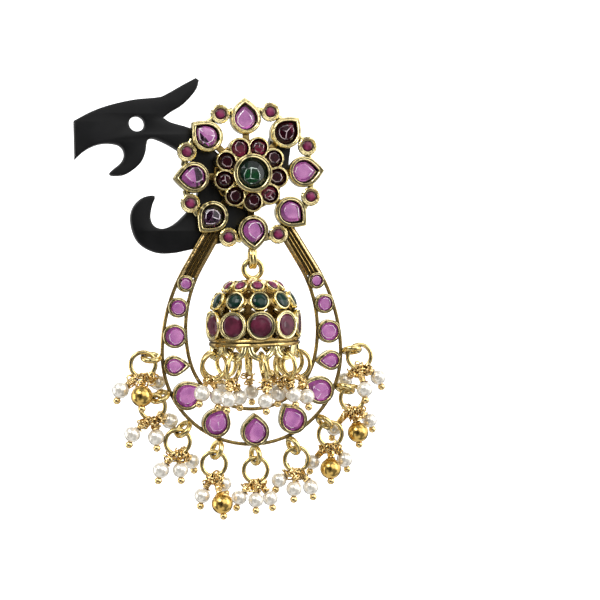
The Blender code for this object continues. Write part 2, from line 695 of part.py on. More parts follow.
def make_setting(seats, gold):
    """The soldered metal of the flower and the hoop, with the ear post."""
    left = next(seat for seat in seats if seat.name == "flower_pear_stone_6")
    right = next(seat for seat in seats if seat.name == "flower_pear_stone_4")
    sink = ARM_SINK_SHARE * PEAR_WALL
    outer_tops = [wire_top(outer_half_width, seat, sink) for seat in (left, right)]
    arm_tops = [wire_top(arm_middle, seat, sink) for seat in (left, right)]
    meshes = [disc("back_disc", BACK_DISC_RADIUS, BACK_DISC_THICKNESS, 0.0, ROUND_SIDES)]
    meshes.append(disc("post", POST_DIAMETER / 2, BACK_DISC_THICKNESS / 2, -POST_LENGTH, POST_SIDES))
    meshes.append(link(
        "back_ring", Vector((0, -BACK_RING_WIRE / 2, 0)), BACK_RING_RADIUS, BACK_RING_WIRE,
        Vector((1, 0, 0)), Vector((0, 0, 1)), BACK_RING_SEGMENTS, CAST_SIDES))
    for index in range(PEAR_COUNT):
        meshes.append(pear_strut(90.0 + FLOWER_TURN - index * 360.0 / PEAR_COUNT))
    meshes.extend(seat.collet() for seat in seats)
    meshes.extend(bead_cup(index) for index in range(PEAR_COUNT))
    meshes.append(outer_wire(*outer_tops))
    meshes.append(inner_wire(*arm_tops))
    meshes.append(ribbed_arm(-1, arm_tops[0]))
    meshes.append(ribbed_arm(1, arm_tops[1]))
    forward = Vector((0, -1, 0))
    for index in range(LOOP_COUNT):
        meshes.append(link(
            "rim_loop", loop_centre(index), LOOP_RADIUS, LOOP_WIRE,
            outward(loop_angle(index)), forward, LOOP_SEGMENTS, CAST_SIDES))
    meshes.append(link(
        "bail", bail_centre(), BAIL_RADIUS, LOOP_WIRE, Vector((0, 0, BAIL_STRETCH)), forward,
        BAIL_SEGMENTS, CAST_SIDES))
    return fuse("setting", meshes, gold)


def arm_middle(height):
    """Half width of the ribbed arm's middle, at a height above the hoop's centre."""
    return (outer_half_width(height) + inner_half_width(height)) / 2


def make_cluster(name, centre, radius, plane, normal, drops, material, turn=None):
    """A jump ring with its drops: pearls or gold beads on short wrapped pins."""
    down = Vector((0, 0, -1))
    meshes = [link(name, centre, radius, RING_WIRE, -down, plane)]
    for kind, aside, forward, drop in drops:
        offset = plane * aside + normal * forward + down * drop
        bead = centre + offset * DROP_REACH
        lean = PIN_LEAN * math.atan2(aside, drop)
        start = centre + (plane * math.sin(lean) + down * math.cos(lean)) * radius
        along = (bead - start).normalized()
        across = along.orthogonal().normalized()
        size = PEARL_DIAMETER if kind == "pearl" else GOLD_BEAD_DIAMETER
        past = 0.0 if kind == "pearl" else size / 2 + GOLD_PIN_END
        meshes.append(tube_between(start, bead + along * past, across, along))
        meshes.append(ball(bead, size / 2, along))
    item = fuse(name, meshes, material)
    if turn is not None:
        for mesh in meshes:
            mesh.transform(turn)
    return item


def tube_between(start, end, across, along):
    """A straight pin between two points."""
    other = along.cross(across)
    rings = []
    for point in (start, end):
        rings.append([
            point + (across * math.cos(turn) + other * math.sin(turn)) * STEM_DIAMETER / 2
            for turn in (2 * math.pi * side / STEM_SIDES for side in range(STEM_SIDES))
        ])
    return loft("stem", rings)


def ball(centre, radius, axis):
    """A round bead with its poles on the given axis."""
    shape = bmesh.new()
    place = Matrix.Translation(centre) @ axis.to_track_quat("Z", "Y").to_matrix().to_4x4()
    bmesh.ops.create_uvsphere(
        shape, u_segments=BEAD_SEGMENTS, v_segments=BEAD_BANDS, radius=radius, matrix=place)
    return finish_mesh("ball", shape)


def make_rim_clusters(material):
    """The rings of the hoop's rim, each hanging in its loop."""
    for index, drops in enumerate(RIM_DROPS):
        bar = loop_centre(index) + outward(loop_angle(index)) * LOOP_RADIUS
        hang = RIM_RING_RADIUS - RING_WIRE / 2 - LOOP_WIRE / 2 - LINK_GAP
        centre = bar - Vector((0, 0, hang))
        make_cluster(
            f"rim_cluster_{index + 1}", centre, RIM_RING_RADIUS, Vector((1, 0, 0)),
            Vector((0, 1, 0)), drops, material)


def bell_directions(azimuth):
    """Outward and sideways unit directions at an azimuth from the front of the bell."""
    turn = math.radians(azimuth)
    out = Vector((math.sin(turn), -math.cos(turn), 0.0))
    side = Vector((math.cos(turn), math.sin(turn), 0.0))
    return out, side


def bell_profile(depth):
    """Radius of the bell's outside and its slope, at a depth share from the top."""
    for upper, lower in zip(BELL_SECTIONS, BELL_SECTIONS[1:]):
        if upper["depth"] <= depth <= lower["depth"]:
            share = (depth - upper["depth"]) / (lower["depth"] - upper["depth"])
            radius = upper["radius"] + (lower["radius"] - upper["radius"]) * share
            run = (lower["radius"] - upper["radius"]) * BELL_RADIUS
            fall = (lower["depth"] - upper["depth"]) * BELL_HEIGHT
            return radius * BELL_RADIUS, math.atan2(run, fall)
    return BELL_RADIUS, 0.0


def bell_shell():
    """The turned shell of the bell, open below."""
    top = bell_top()
    outer = [(row["radius"] * BELL_RADIUS, row["depth"] * BELL_HEIGHT) for row in BELL_SECTIONS]
    inner = []
    for radius, depth in reversed(outer[1:-3]):
        inner.append((radius - BELL_WALL, depth + BELL_WALL / 2))
    inner.insert(0, (BELL_RADIUS - 2 * BELL_WALL, BELL_HEIGHT))
    rings = []
    for radius, depth in outer + inner:
        ring = []
        for index in range(BELL_SEGMENTS):
            out, _ = bell_directions(BELL_FIRST_AZIMUTH + 360.0 * (index + 0.5) / BELL_SEGMENTS)
            ring.append(top + out * radius - Vector((0, 0, depth)))
        rings.append(ring)
    return loft("bell", rings)


def wall_frame(azimuth, depth):
    """Point on the bell's outside with its outward, sideways and downward directions."""
    radius, slope = bell_profile(depth)
    out, side = bell_directions(azimuth)
    point = bell_top() + out * radius - Vector((0, 0, depth * BELL_HEIGHT))
    normal = out * math.cos(slope) + Vector((0, 0, 1)) * math.sin(slope)
    return point, normal, side, normal.cross(side)


def bell_stone(azimuth, row):
    """A collet of the bell with its stone fused in."""
    point, normal, side, down = wall_frame(azimuth, row["depth"])
    radius = row["width"] * BELL_RADIUS / 2
    rise = BELL_STONE_RISE
    profile = (
        (radius, -BELL_WALL / 2),
        (radius, rise),
        (radius * BELL_TABLE_SHARE, rise + BELL_STONE_CROWN),
    )
    rings = []
    for reach, height in profile:
        rings.append([
            point + normal * height + (side * math.cos(turn) + down * math.sin(turn)) * reach
            for turn in (2 * math.pi * (index + 0.5) / row["sides"] for index in range(row["sides"]))
        ])
    return loft("bell_stone", rings)


def bell_gap(azimuth, row):
    """A cutter for one pierced gap of the bell's wall."""
    point, normal, side, down = wall_frame(azimuth, row["depth"])
    rings = []
    for height in (-2 * BELL_WALL, BELL_WALL):
        ring = []
        for index in range(row["corners"]):
            turn = 2 * math.pi * index / row["corners"] - math.pi / 2
            across = side * math.cos(turn) * row["width"] * BELL_RADIUS
            along = down * math.sin(turn) * row["height"] * BELL_HEIGHT / 2
            ring.append(point + normal * height + across + along)
        rings.append(ring)
    return loft("bell_gap", rings)


def scallop_radius():
    """Radius of the circle that the scallops' wire follows around the bell."""
    return BELL_RADIUS - SCALLOP_WIRE / 2


def scallop(azimuth):
    """A bent wire that hangs from the band as an open eye."""
    top = bell_top()
    half_turn = 180.0 / BELL_STONES
    floor = BELL_HEIGHT - SCALLOP_WIRE / 4
    rings = []
    for index in range(SCALLOP_POINTS):
        share = 2.0 * index / (SCALLOP_POINTS - 1) - 1.0
        bow = math.sqrt(max(0.0, 1.0 - share ** 2))
        out, side = bell_directions(azimuth + share * half_turn * SCALLOP_SPAN)
        middle = top + out * scallop_radius() - Vector((0, 0, floor + SCALLOP_DEPTH * bow))
        lean = math.pi / 2 * share
        across = Vector((0, 0, 1)) * math.cos(lean) - side * math.sin(lean)
        rings.append([
            middle + (across * math.cos(turn) + out * math.sin(turn)) * SCALLOP_WIRE / 2
            for turn in (2 * math.pi * corner / CAST_SIDES for corner in range(CAST_SIDES))
        ])
    return loft("scallop", rings)


def make_bell(gold):
    """The pierced bell with its fused stones, scallops and ring."""
    bell = add_object("bell", bell_shell(), gold)
    step = 360.0 / BELL_STONES
    cutters = []
    shapes = []
    for index in range(BELL_STONES):
        azimuth = BELL_FIRST_AZIMUTH + index * step
        for row in BELL_GAPS:
            cutters.append(add_object("bell_gap", bell_gap(azimuth + step / 2, row)))
        for row in BELL_ROWS:
            shapes.append(add_object("bell_stone", bell_stone(azimuth, row), gold))
        shapes.append(add_object("scallop", scallop(azimuth), gold))
    shapes.append(add_object("bell_ring", link(
        "bell_ring", bell_ring_centre(), BELL_RING_RADIUS, BELL_RING_WIRE,
        Vector((0, 0, 1)), Vector((1, 0, 0))), gold))
    combine(bell, cutters, "DIFFERENCE")
    combine(bell, shapes, "UNION")
    return thin_out(bell, FUSED_SHARE)


def make_bell_clusters(material):
    """The rings of the bell, each through the eye of its scallop."""
    top = bell_top()
    floor = BELL_HEIGHT - SCALLOP_WIRE / 4 + SCALLOP_DEPTH
    clusters = []
    for index, row in enumerate(BELL_DROPS):
        out, side = bell_directions(BELL_FIRST_AZIMUTH + index * 360.0 / BELL_STONES)
        crown = top + out * scallop_radius() - Vector((0, 0, floor))
        crown += Vector((0, 0, SCALLOP_WIRE / 2 + LINK_GAP + RING_WIRE / 2))
        hang = math.sqrt(BELL_LINK_RADIUS ** 2 - BELL_LINK_SET_IN ** 2)
        centre = crown - out * BELL_LINK_SET_IN - Vector((0, 0, hang))
        sway = Matrix.Rotation(math.radians(row["sway"]), 4, out)
        flare = Matrix.Rotation(-math.radians(row["flare"]), 4, side)
        turn = Matrix.Translation(crown) @ sway @ flare @ Matrix.Translation(-crown)
        clusters.append(make_cluster(
            f"bell_cluster_{index + 1}", centre, BELL_LINK_RADIUS, out, side,
            row["drops"], material, turn))
    return clusters


def smooth_outline(rows):
    """Points of an outline, with curves through its soft rows and corners at its sharp ones."""
    count = len(rows)
    points = [
        Vector((DISPLAY_SHIFT + along * DISPLAY_WIDTH, up * DISPLAY_HEIGHT)) for along, up, _ in rows
    ]
    kinds = [kind for _, _, kind in rows]
    outline = []
    for index in range(count):
        after = (index + 1) % count
        start = points[index]
        end = points[after]
        before = points[index - 1] if kinds[index] == "soft" else start
        beyond = points[(after + 1) % count] if kinds[after] == "soft" else end
        flat = kinds[index] == "sharp" and kinds[after] == "sharp"
        steps = 1 if flat else DISPLAY_CURVE_STEPS
        for step in range(steps):
            share = step / steps
            leave = (end - before) / 2
            arrive = (beyond - start) / 2
            square = share ** 2
            cube = share ** 3
            outline.append(
                start * (2 * cube - 3 * square + 1) + leave * (cube - 2 * square + share)
                + end * (3 * square - 2 * cube) + arrive * (cube - square))
    return outline


def make_display_arm(plastic):
    """The flat arm of the display stand, with its round hole and the hole for the post."""
    outline = smooth_outline(DISPLAY_OUTLINE)
    rings = []
    for depth in (POST_GAP, POST_GAP + DISPLAY_THICKNESS):
        rings.append([Vector((point.x, depth, point.y)) for point in outline])
    arm = add_object("display_arm", loft("display_arm", rings), plastic)
    holes = []
    across = DISPLAY_SHIFT + DISPLAY_HOLE_ALONG * DISPLAY_WIDTH
    centre = Vector((across, 0.0, DISPLAY_HOLE_UP * DISPLAY_HEIGHT))
    for middle, size in ((centre, DISPLAY_HOLE), (Vector(), POST_DIAMETER + 2 * POST_GAP)):
        rings = []
        for depth in (POST_GAP - DISPLAY_THICKNESS, POST_GAP + 2 * DISPLAY_THICKNESS):
            rings.append([
                middle + polar(size / 2, 360.0 * side / DISPLAY_HOLE_SIDES, -depth)
                for side in range(DISPLAY_HOLE_SIDES)
            ])
        holes.append(add_object("display_hole", loft("display_hole", rings)))
    return combine(arm, holes, "DIFFERENCE")


def make_clutch(gold):
    """The plain clutch that slides on the post behind the display arm."""
    front = 2 * POST_GAP + DISPLAY_THICKNESS
    bore = POST_DIAMETER / 2 + CLUTCH_GAP
    profile = (
        (bore, front),
        (CLUTCH_DIAMETER / 2, front),
        (CLUTCH_DIAMETER / 2, front + CLUTCH_FLANGE),
        (CLUTCH_DIAMETER / 2 * CLUTCH_NECK_SHARE, front + 1.5 * CLUTCH_FLANGE),
        (CLUTCH_DIAMETER / 2 * CLUTCH_NECK_SHARE, front + CLUTCH_LENGTH),
        (bore, front + CLUTCH_LENGTH),
    )
    rings = []
    for radius, depth in profile:
        rings.append([
            polar(radius, 360.0 * side / CLUTCH_SIDES, -depth) for side in range(CLUTCH_SIDES)
        ])
    return add_object("ear_clutch", loft("ear_clutch", rings, round_trip=True), gold)


def hang_on_pivot(items):
    """Parents the bell's pieces to an empty on the axis that the bell swings about."""
    pivot = bpy.data.objects.new("bell_pivot", None)
    bpy.context.scene.collection.objects.link(pivot)
    pivot.location = bell_ring_centre() + Vector((0, 0, BELL_RING_RADIUS))
    for item in items:
        item.parent = pivot
        item.matrix_parent_inverse = Matrix.Translation(-pivot.location)


def main():
    """Builds every piece."""
    clear_scene()
    gold = make_material("antique_gold", (0.60, 0.42, 0.16), 1.0, 0.3)
    lilac = make_material("lilac_glass", (0.45, 0.12, 0.42), 0.0, 0.08)
    garnet = make_material("garnet_glass", (0.16, 0.01, 0.03), 0.0, 0.08)
    green = make_material("green_glass", (0.01, 0.10, 0.05), 0.0, 0.08)
    pearl = make_material("pearl", (0.86, 0.82, 0.74), 0.0, 0.25)
    plastic = make_material("black_plastic", (0.01, 0.01, 0.01), 0.0, 0.4)
    seats = flower_seats() + hoop_seats()
    make_setting(seats, gold)
    for seat in seats:
        glass = lilac
        if "petal" in seat.name:
            glass = garnet
        if "centre" in seat.name:
            glass = green
        add_object(seat.name, seat.stone(), glass)
    make_clutch(gold)
    make_display_arm(plastic)
    make_rim_clusters(pearl)
    before = set(bpy.data.objects)
    make_bell(gold)
    make_bell_clusters(pearl)
    hang_on_pivot([item for item in bpy.data.objects if item not in before])


main()
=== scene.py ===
"""Looks of a gold jhumka earring that hangs on the arm of its display stand.

Lengths are in metres, +Z is up and the face of the earring looks along -Y. The origin is the
root of the ear post. Each class dresses one sub-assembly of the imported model.
"""

import logging
import math
import random
from collections.abc import Callable
from dataclasses import dataclass
from enum import Enum

import bmesh
import bpy
from mathutils import Matrix, Vector


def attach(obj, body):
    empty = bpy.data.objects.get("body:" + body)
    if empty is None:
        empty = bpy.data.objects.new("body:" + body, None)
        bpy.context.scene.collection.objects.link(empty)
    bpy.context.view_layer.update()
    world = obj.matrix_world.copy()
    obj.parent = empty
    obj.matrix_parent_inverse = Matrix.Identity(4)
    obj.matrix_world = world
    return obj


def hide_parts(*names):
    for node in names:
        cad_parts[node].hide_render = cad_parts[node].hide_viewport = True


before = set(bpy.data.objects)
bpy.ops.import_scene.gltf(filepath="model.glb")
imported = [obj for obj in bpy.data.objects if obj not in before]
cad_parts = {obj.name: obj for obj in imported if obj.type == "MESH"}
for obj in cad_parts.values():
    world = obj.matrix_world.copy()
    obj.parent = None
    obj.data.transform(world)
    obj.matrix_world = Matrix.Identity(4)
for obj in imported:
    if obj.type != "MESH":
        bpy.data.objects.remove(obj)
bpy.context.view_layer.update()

MM = 0.001
GLASS_IOR = 1.52
FACET_TURN = 8.0
LOG = logging.getLogger("jhumka")

Ring = list[Vector]
Profile = list[tuple[float, float]]
DOWN = Vector((0.0, 0.0, -1.0))
FORWARD = Vector((0.0, -1.0, 0.0))


class Slot(Enum):
    """The record's material slots."""

    GOLD = "antique_gold"
    LILAC = "lilac_glass"
    GARNET = "garnet_glass"
    GREEN = "green_glass"
    PEARL = "pearl"
    PLASTIC = "black_plastic"


class Outline(Enum):
    """The outlines that a stone and its collet can have."""

    PEAR = "pear"
    OVAL = "oval"


class Bead(Enum):
    """The beads that hang on the jump rings."""

    PEARL = "pearl"
    GOLD = "gold"


def linear(code: str) -> tuple[float, float, float, float]:
    """Turns an sRGB colour into the linear one that shaders take.

    Args:
        code: The colour as a hex value such as "#c9a646".

    Returns:
        Linear red, green and blue, with an alpha of 1.
    """
    parts = [int(code[start:start + 2], 16) / 255 for start in (1, 3, 5)]
    curve = [part / 12.92 if part <= 0.04045 else ((part + 0.055) / 1.055) ** 2.4 for part in parts]
    return (*curve, 1.0)


def set_inputs(tree: bpy.types.NodeTree, node: bpy.types.Node, sockets: dict) -> None:
    """Sets or links the inputs of a node.

    Args:
        tree: The node tree that holds the node.
        node: The node.
        sockets: Input names or numbers, each with a value or with an output to link.
    """
    for name, value in sockets.items():
        if isinstance(value, bpy.types.NodeSocket):
            tree.links.new(value, node.inputs[name])
        else:
            node.inputs[name].default_value = value


def add_node(tree: bpy.types.NodeTree, kind: str, sockets: dict, output: int | str = 0,
             **settings) -> bpy.types.NodeSocket:
    """Adds a node with its settings and links.

    A MapRange takes its value, its old range and its new one as inputs 0 to 4. A Mix of colours
    takes its share as input 0 and its colours as 6 and 7, and gives the mixed one as output 2.

    Args:
        tree: The node tree that takes the node.
        kind: The node's type, without its ShaderNode prefix.
        sockets: Input names or numbers, each with a value or with an output to link.
        output: Name or number of the output that is wanted.
        **settings: The node's own properties.

    Returns:
        That output.
    """
    node = tree.nodes.new("ShaderNode" + kind)
    for name, value in settings.items():
        setattr(node, name, value)
    set_inputs(tree, node, sockets)
    return node.outputs[output]


class Finish:
    """A surface finish, made once and shared by every piece that has it."""

    def material(self) -> bpy.types.Material:
        """Builds the material.

        Returns:
            The finished material.
        """
        material = bpy.data.materials.new(type(self).__name__)
        material.use_nodes = True
        tree = material.node_tree
        set_inputs(tree, tree.nodes["Principled BSDF"], self.sockets(tree))
        return material

    def sockets(self, tree: bpy.types.NodeTree) -> dict:
        """What the shader's inputs take.

        Args:
            tree: The node tree of the material.

        Returns:
            The inputs' names, each with its value or with the output that feeds it.
        """
        raise NotImplementedError

    def grain(self, tree: bpy.types.NodeTree, spacing: float, detail: float = 2.0,
              spread: tuple[float, float] | None = None,
              ends: tuple[float, float] = (0.0, 1.0)) -> bpy.types.NodeSocket:
        """Uneven spots of a real size.

        Args:
            tree: The node tree of the material.
            spacing: Distance between neighbouring spots, in metres.
            detail: How many finer layers they have.
            spread: The values that are stretched to reach the ends, or None to stretch nothing.
            ends: The lowest and the highest value after that.

        Returns:
            The value that changes from spot to spot.
        """
        place = add_node(tree, "TexCoord", {}, "Object")
        spots = add_node(tree, "TexNoise", {
            "Vector": place, "Scale": 1.0 / spacing, "Detail": detail})
        if spread is None:
            return spots
        return add_node(tree, "MapRange", {0: spots, 1: spread[0], 2: spread[1], 3: ends[0], 4: ends[1]})

    def openness(self, tree: bpy.types.NodeTree, reach: float, spread: tuple[float, float],
                 samples: int = 6) -> bpy.types.NodeSocket:
        """How open each place is, from 0 in the recesses to 1 where nothing stands near.

        Args:
            tree: The node tree of the material.
            reach: How far away a neighbour still counts, in metres.
            spread: The open shares that become 0 and 1.
            samples: How finely it is measured.

        Returns:
            The openness.
        """
        share = add_node(tree, "AmbientOcclusion", {"Distance": reach}, "AO", samples=samples)
        return add_node(tree, "MapRange", {0: share, 1: spread[0], 2: spread[1]})

    def relief(self, tree: bpy.types.NodeTree, spacing: float, depth: float, detail: float = 2.0,
               under: bpy.types.NodeSocket | None = None) -> bpy.types.NodeSocket:
        """A bumpy surface of a real size.

        Args:
            tree: The node tree of the material.
            spacing: Distance between neighbouring bumps, in metres.
            depth: Their depth, in metres.
            detail: How many finer layers they have.
            under: The normal of a coarser relief that this one lies on.

        Returns:
            The bent normal.
        """
        sockets = {"Height": self.grain(tree, spacing, detail), "Distance": depth}
        if under is not None:
            sockets["Normal"] = under
        return add_node(tree, "Bump", sockets)


@dataclass(frozen=True)
class AntiqueGold(Finish):
    """Gold-plated brass, cast, tumbled bright and left dark in its recesses.

    The eye gets pale yellow edges, brown grooves and slightly uneven reflections.
    """

    high: str = "#fcf0b8"
    worn: str = "#ebd596"
    recess: str = "#2c1909"
    recess_reach: float = 0.6 * MM
    recess_share: tuple[float, float] = (0.12, 0.6)
    tone_spacing: float = 1.6 * MM
    hammer_spacing: float = 0.9 * MM
    hammer_depth: float = 0.05 * MM
    pore_spacing: float = 0.25 * MM
    pore_depth: float = 0.008 * MM
    fleck_spacing: float = 0.55 * MM
    fleck_spread: tuple[float, float] = (0.34, 0.44)
    fleck_floor: float = 0.55
    dull: float = 0.45
    polished: float = 0.15

    def sockets(self, tree: bpy.types.NodeTree) -> dict:
        """What the shader's inputs take.

        Args:
            tree: The node tree of the material.

        Returns:
            The inputs' names, each with its value or with the output that feeds it.
        """
        free = self.openness(tree, self.recess_reach, self.recess_share, 8)
        flecks = self.grain(tree, self.fleck_spacing, 3.0, self.fleck_spread, (self.fleck_floor, 1.0))
        height = add_node(tree, "Math", {0: free, 1: flecks}, operation="MULTIPLY")
        tone = add_node(tree, "Mix", {
            0: self.grain(tree, self.tone_spacing), 6: linear(self.worn), 7: linear(self.high),
        }, 2, data_type="RGBA")
        hammered = self.relief(tree, self.hammer_spacing, self.hammer_depth)
        return {
            "Base Color": add_node(tree, "Mix", {0: height, 6: linear(self.recess), 7: tone}, 2,
                                   data_type="RGBA"),
            "Metallic": 1.0,
            "Roughness": add_node(tree, "MapRange", {0: height, 3: self.dull, 4: self.polished}),
            "Normal": self.relief(tree, self.pore_spacing, self.pore_depth, 3.0, hammered),
        }


@dataclass(frozen=True)
class BrightGold(Finish):
    """Gold-plated wire and balls, drawn and polished, without the dark wash.

    The eye gets a clean, warmer yellow than the casting's, with painted shade where neighbours stand
    near.
    """

    high: str = "#f2dc9c"
    shade: str = "#7c5a28"
    recess_reach: float = 0.35 * MM
    recess_share: tuple[float, float] = (0.2, 0.75)
    smear_spacing: float = 1.1 * MM
    smear_roughness: tuple[float, float] = (0.12, 0.22)
    wave_spacing: float = 0.9 * MM
    wave_depth: float = 0.008 * MM

    def sockets(self, tree: bpy.types.NodeTree) -> dict:
        """What the shader's inputs take.

        Args:
            tree: The node tree of the material.

        Returns:
            The inputs' names, each with its value or with the output that feeds it.
        """
        # The shade colour is painted shade, mixed in where neighbours stand near.
        free = self.openness(tree, self.recess_reach, self.recess_share)
        return {
            "Base Color": add_node(tree, "Mix", {
                0: free, 6: linear(self.shade), 7: linear(self.high)}, 2, data_type="RGBA"),
            "Metallic": 1.0,
            "Roughness": self.grain(tree, self.smear_spacing, 2.0, (0.3, 0.7), self.smear_roughness),
            "Normal": self.relief(tree, self.wave_spacing, self.wave_depth),
        }


@dataclass(frozen=True)
class PressedGlass(Finish):
    """Coloured glass, pressed and fire polished, set open at the back.

    The eye gets a clear tint with faint streaks, glints on the facets and a softly waved surface.
    """

    tint: str
    streak: str
    mirror: str = "#ffffff"
    clearness: float = 1.0
    roughness: float = 0.03
    streak_spacing: float = 2.2 * MM
    wave_spacing: float = 1.4 * MM
    wave_depth: float = 0.02 * MM

    def sockets(self, tree: bpy.types.NodeTree) -> dict:
        """What the shader's inputs take.

        Args:
            tree: The node tree of the material.

        Returns:
            The inputs' names, each with its value or with the output that feeds it.
        """
        share = self.grain(tree, self.streak_spacing, 1.0, (0.35, 0.65))
        return {
            "Base Color": add_node(tree, "Mix", {
                0: share, 6: linear(self.tint), 7: linear(self.streak)}, 2, data_type="RGBA"),
            "Roughness": self.roughness,
            "IOR": GLASS_IOR,
            "Transmission Weight": self.clearness,
            "Specular Tint": linear(self.mirror),
            "Normal": self.relief(tree, self.wave_spacing, self.wave_depth, 1.0),
        }


@dataclass(frozen=True)
class WornGlintEdge(Finish):
    """The chipped, polished-over edges of pressed glass.

    The eye gets thin off-white lines that come and go around a table: worn, frosted edges with a painted
    glint.
    """

    light: str
    depth: str
    patch_spacing: float = 1.1 * MM
    clear: float = 0.9
    chipped: float = 0.25

    def sockets(self, tree: bpy.types.NodeTree) -> dict:
        """What the shader's inputs take.

        Args:
            tree: The node tree of the material.

        Returns:
            The inputs' names, each with its value or with the output that feeds it.
        """
        # The light colour is a painted glint along the worn edges; the patches make it come and go.
        patches = self.grain(tree, self.patch_spacing, 1.0, (0.44, 0.56))
        return {
            "Base Color": add_node(tree, "Mix", {
                0: patches, 6: linear(self.depth), 7: linear(self.light)}, 2, data_type="RGBA"),
            "Roughness": 0.22,
            "IOR": GLASS_IOR,
            "Transmission Weight": add_node(tree, "MapRange", {
                0: patches, 3: self.clear, 4: self.chipped}),
            "Coat Weight": 1.0,
        }


@dataclass(frozen=True)
class FoiledGlass(Finish):
    """Glass set over a closed gold cup, cast as a dome.

    The eye gets a painted highlight colour in the middle, painted shade at the rim beside the bezel and
    small sharp highlights.
    """

    # middle is a painted highlight colour and edge a painted shade colour.
    middle: str
    edge: str
    reach: float = 0.8 * MM
    lit_share: tuple[float, float] = (0.55, 0.98)
    cloud_spacing: float = 1.5 * MM
    cloud_floor: float = 0.45

    def sockets(self, tree: bpy.types.NodeTree) -> dict:
        """What the shader's inputs take.

        Args:
            tree: The node tree of the material.

        Returns:
            The inputs' names, each with its value or with the output that feeds it.
        """
        # Open places take the painted highlight colour, places near the bezel the painted shade colour.
        lit = self.openness(tree, self.reach, self.lit_share)
        cloud = self.grain(tree, self.cloud_spacing, 1.0, (0.35, 0.65), (self.cloud_floor, 1.0))
        share = add_node(tree, "Math", {0: lit, 1: cloud}, operation="MULTIPLY")
        return {
            "Base Color": add_node(tree, "Mix", {
                0: share, 6: linear(self.edge), 7: linear(self.middle)}, 2, data_type="RGBA"),
            "Roughness": 0.05,
            "IOR": GLASS_IOR,
            "Specular IOR Level": 0.3,
        }


@dataclass(frozen=True)
class PearlLustre(Finish):
    """Imitation pearl: a glass core dipped in pearl essence.

    The eye gets an off-white body, a broad soft sheen and a small sharp highlight.
    """

    body: str = "#fbf6ea"
    shade: str = "#f2eadb"
    cloud_spacing: float = 1.3 * MM
    skin_spacing: float = 1.2 * MM
    skin_depth: float = 0.006 * MM

    def sockets(self, tree: bpy.types.NodeTree) -> dict:
        """What the shader's inputs take.

        Args:
            tree: The node tree of the material.

        Returns:
            The inputs' names, each with its value or with the output that feeds it.
        """
        share = self.grain(tree, self.cloud_spacing, 2.0, (0.35, 0.7))
        return {
            "Base Color": add_node(tree, "Mix", {
                0: share, 6: linear(self.body), 7: linear(self.shade)}, 2, data_type="RGBA"),
            # Part metal stands for the mirror-like flakes of the pearl essence.
            "Metallic": 0.4,
            "Roughness": 0.17,
            "IOR": 1.6,
            "Coat Weight": 0.8,
            "Coat Roughness": 0.03,
            "Normal": self.relief(tree, self.skin_spacing, self.skin_depth),
        }


@dataclass(frozen=True)
class SatinPlastic(Finish):
    """ABS, injection moulded against a fine spark-eroded wall.

    The eye gets a near black with a wide dull sheen and a lighter line along each edge.
    """

    body: str = "#070708"
    dust: str = "#101012"
    dust_spacing: float = 5.0 * MM
    smear_spacing: float = 3.0 * MM
    smear_roughness: tuple[float, float] = (0.30, 0.40)
    # The mould's grit is about 0.03 mm, drawn coarser so that it shows.
    grit_spacing: float = 0.3 * MM
    grit_depth: float = 0.006 * MM

    def sockets(self, tree: bpy.types.NodeTree) -> dict:
        """What the shader's inputs take.

        Args:
            tree: The node tree of the material.

        Returns:
            The inputs' names, each with its value or with the output that feeds it.
        """
        share = self.grain(tree, self.dust_spacing, 4.0, (0.45, 0.75))
        return {
            "Base Color": add_node(tree, "Mix", {
                0: share, 6: linear(self.body), 7: linear(self.dust)}, 2, data_type="RGBA"),
            "Roughness": self.grain(tree, self.smear_spacing, 3.0, (0.3, 0.7), self.smear_roughness),
            "Specular IOR Level": 0.3,
            "Normal": self.relief(tree, self.grit_spacing, self.grit_depth, 3.0),
        }


@dataclass(frozen=True)
class PalePaper(Finish):
    """Seamless background paper, matt and white, with light behind it.

    The eye gets an even pale ground.
    """

    body: str = "#f4f3f1"
    pulp_spacing: float = 60.0 * MM
    glow: float = 0.95

    def sockets(self, tree: bpy.types.NodeTree) -> dict:
        """What the shader's inputs take.

        Args:
            tree: The node tree of the material.

        Returns:
            The inputs' names, each with its value or with the output that feeds it.
        """
        share = self.grain(tree, self.pulp_spacing, 2.0, (0.3, 0.7))
        return {
            "Base Color": add_node(tree, "Mix", {
                0: share, 6: linear(self.body), 7: linear("#ffffff")}, 2, data_type="RGBA"),
            "Roughness": 0.9,
            "Emission Color": linear("#ffffff"),
            "Emission Strength": self.glow,
        }


ANTIQUE = AntiqueGold().material()
OXIDISED = AntiqueGold("#dcc07c", "#9e8048", "#20140a", 0.8 * MM, (0.38, 0.96)).material()
# A darker copy of the gold for the bell's inward faces: painted shade.
SHADED_INSIDE_GOLD = AntiqueGold("#7d6234", "#4d3a1c", "#160d05", 1.2 * MM, (0.3, 1.0)).material()
RIBBED = AntiqueGold("#ecdcb0", "#c6ad78", "#26180c", 0.6 * MM, (0.22, 0.66)).material()
BRIGHT = BrightGold().material()
JUMP_RING = AntiqueGold("#f2e0a2", "#d0b068", "#2c1909", 0.9 * MM, (0.22, 0.75)).material()
WIRE = BrightGold("#edd092", "#966c36").material()
BEAD = BrightGold("#d6b263", "#4c3212").material()
LILAC = PressedGlass("#a06a94", "#7c4678").material()
# Each glass has a darker crown copy: painted shade on the crown facets.
LILAC_CROWN_SHADE = PressedGlass("#541d4a", "#3c1236").material()
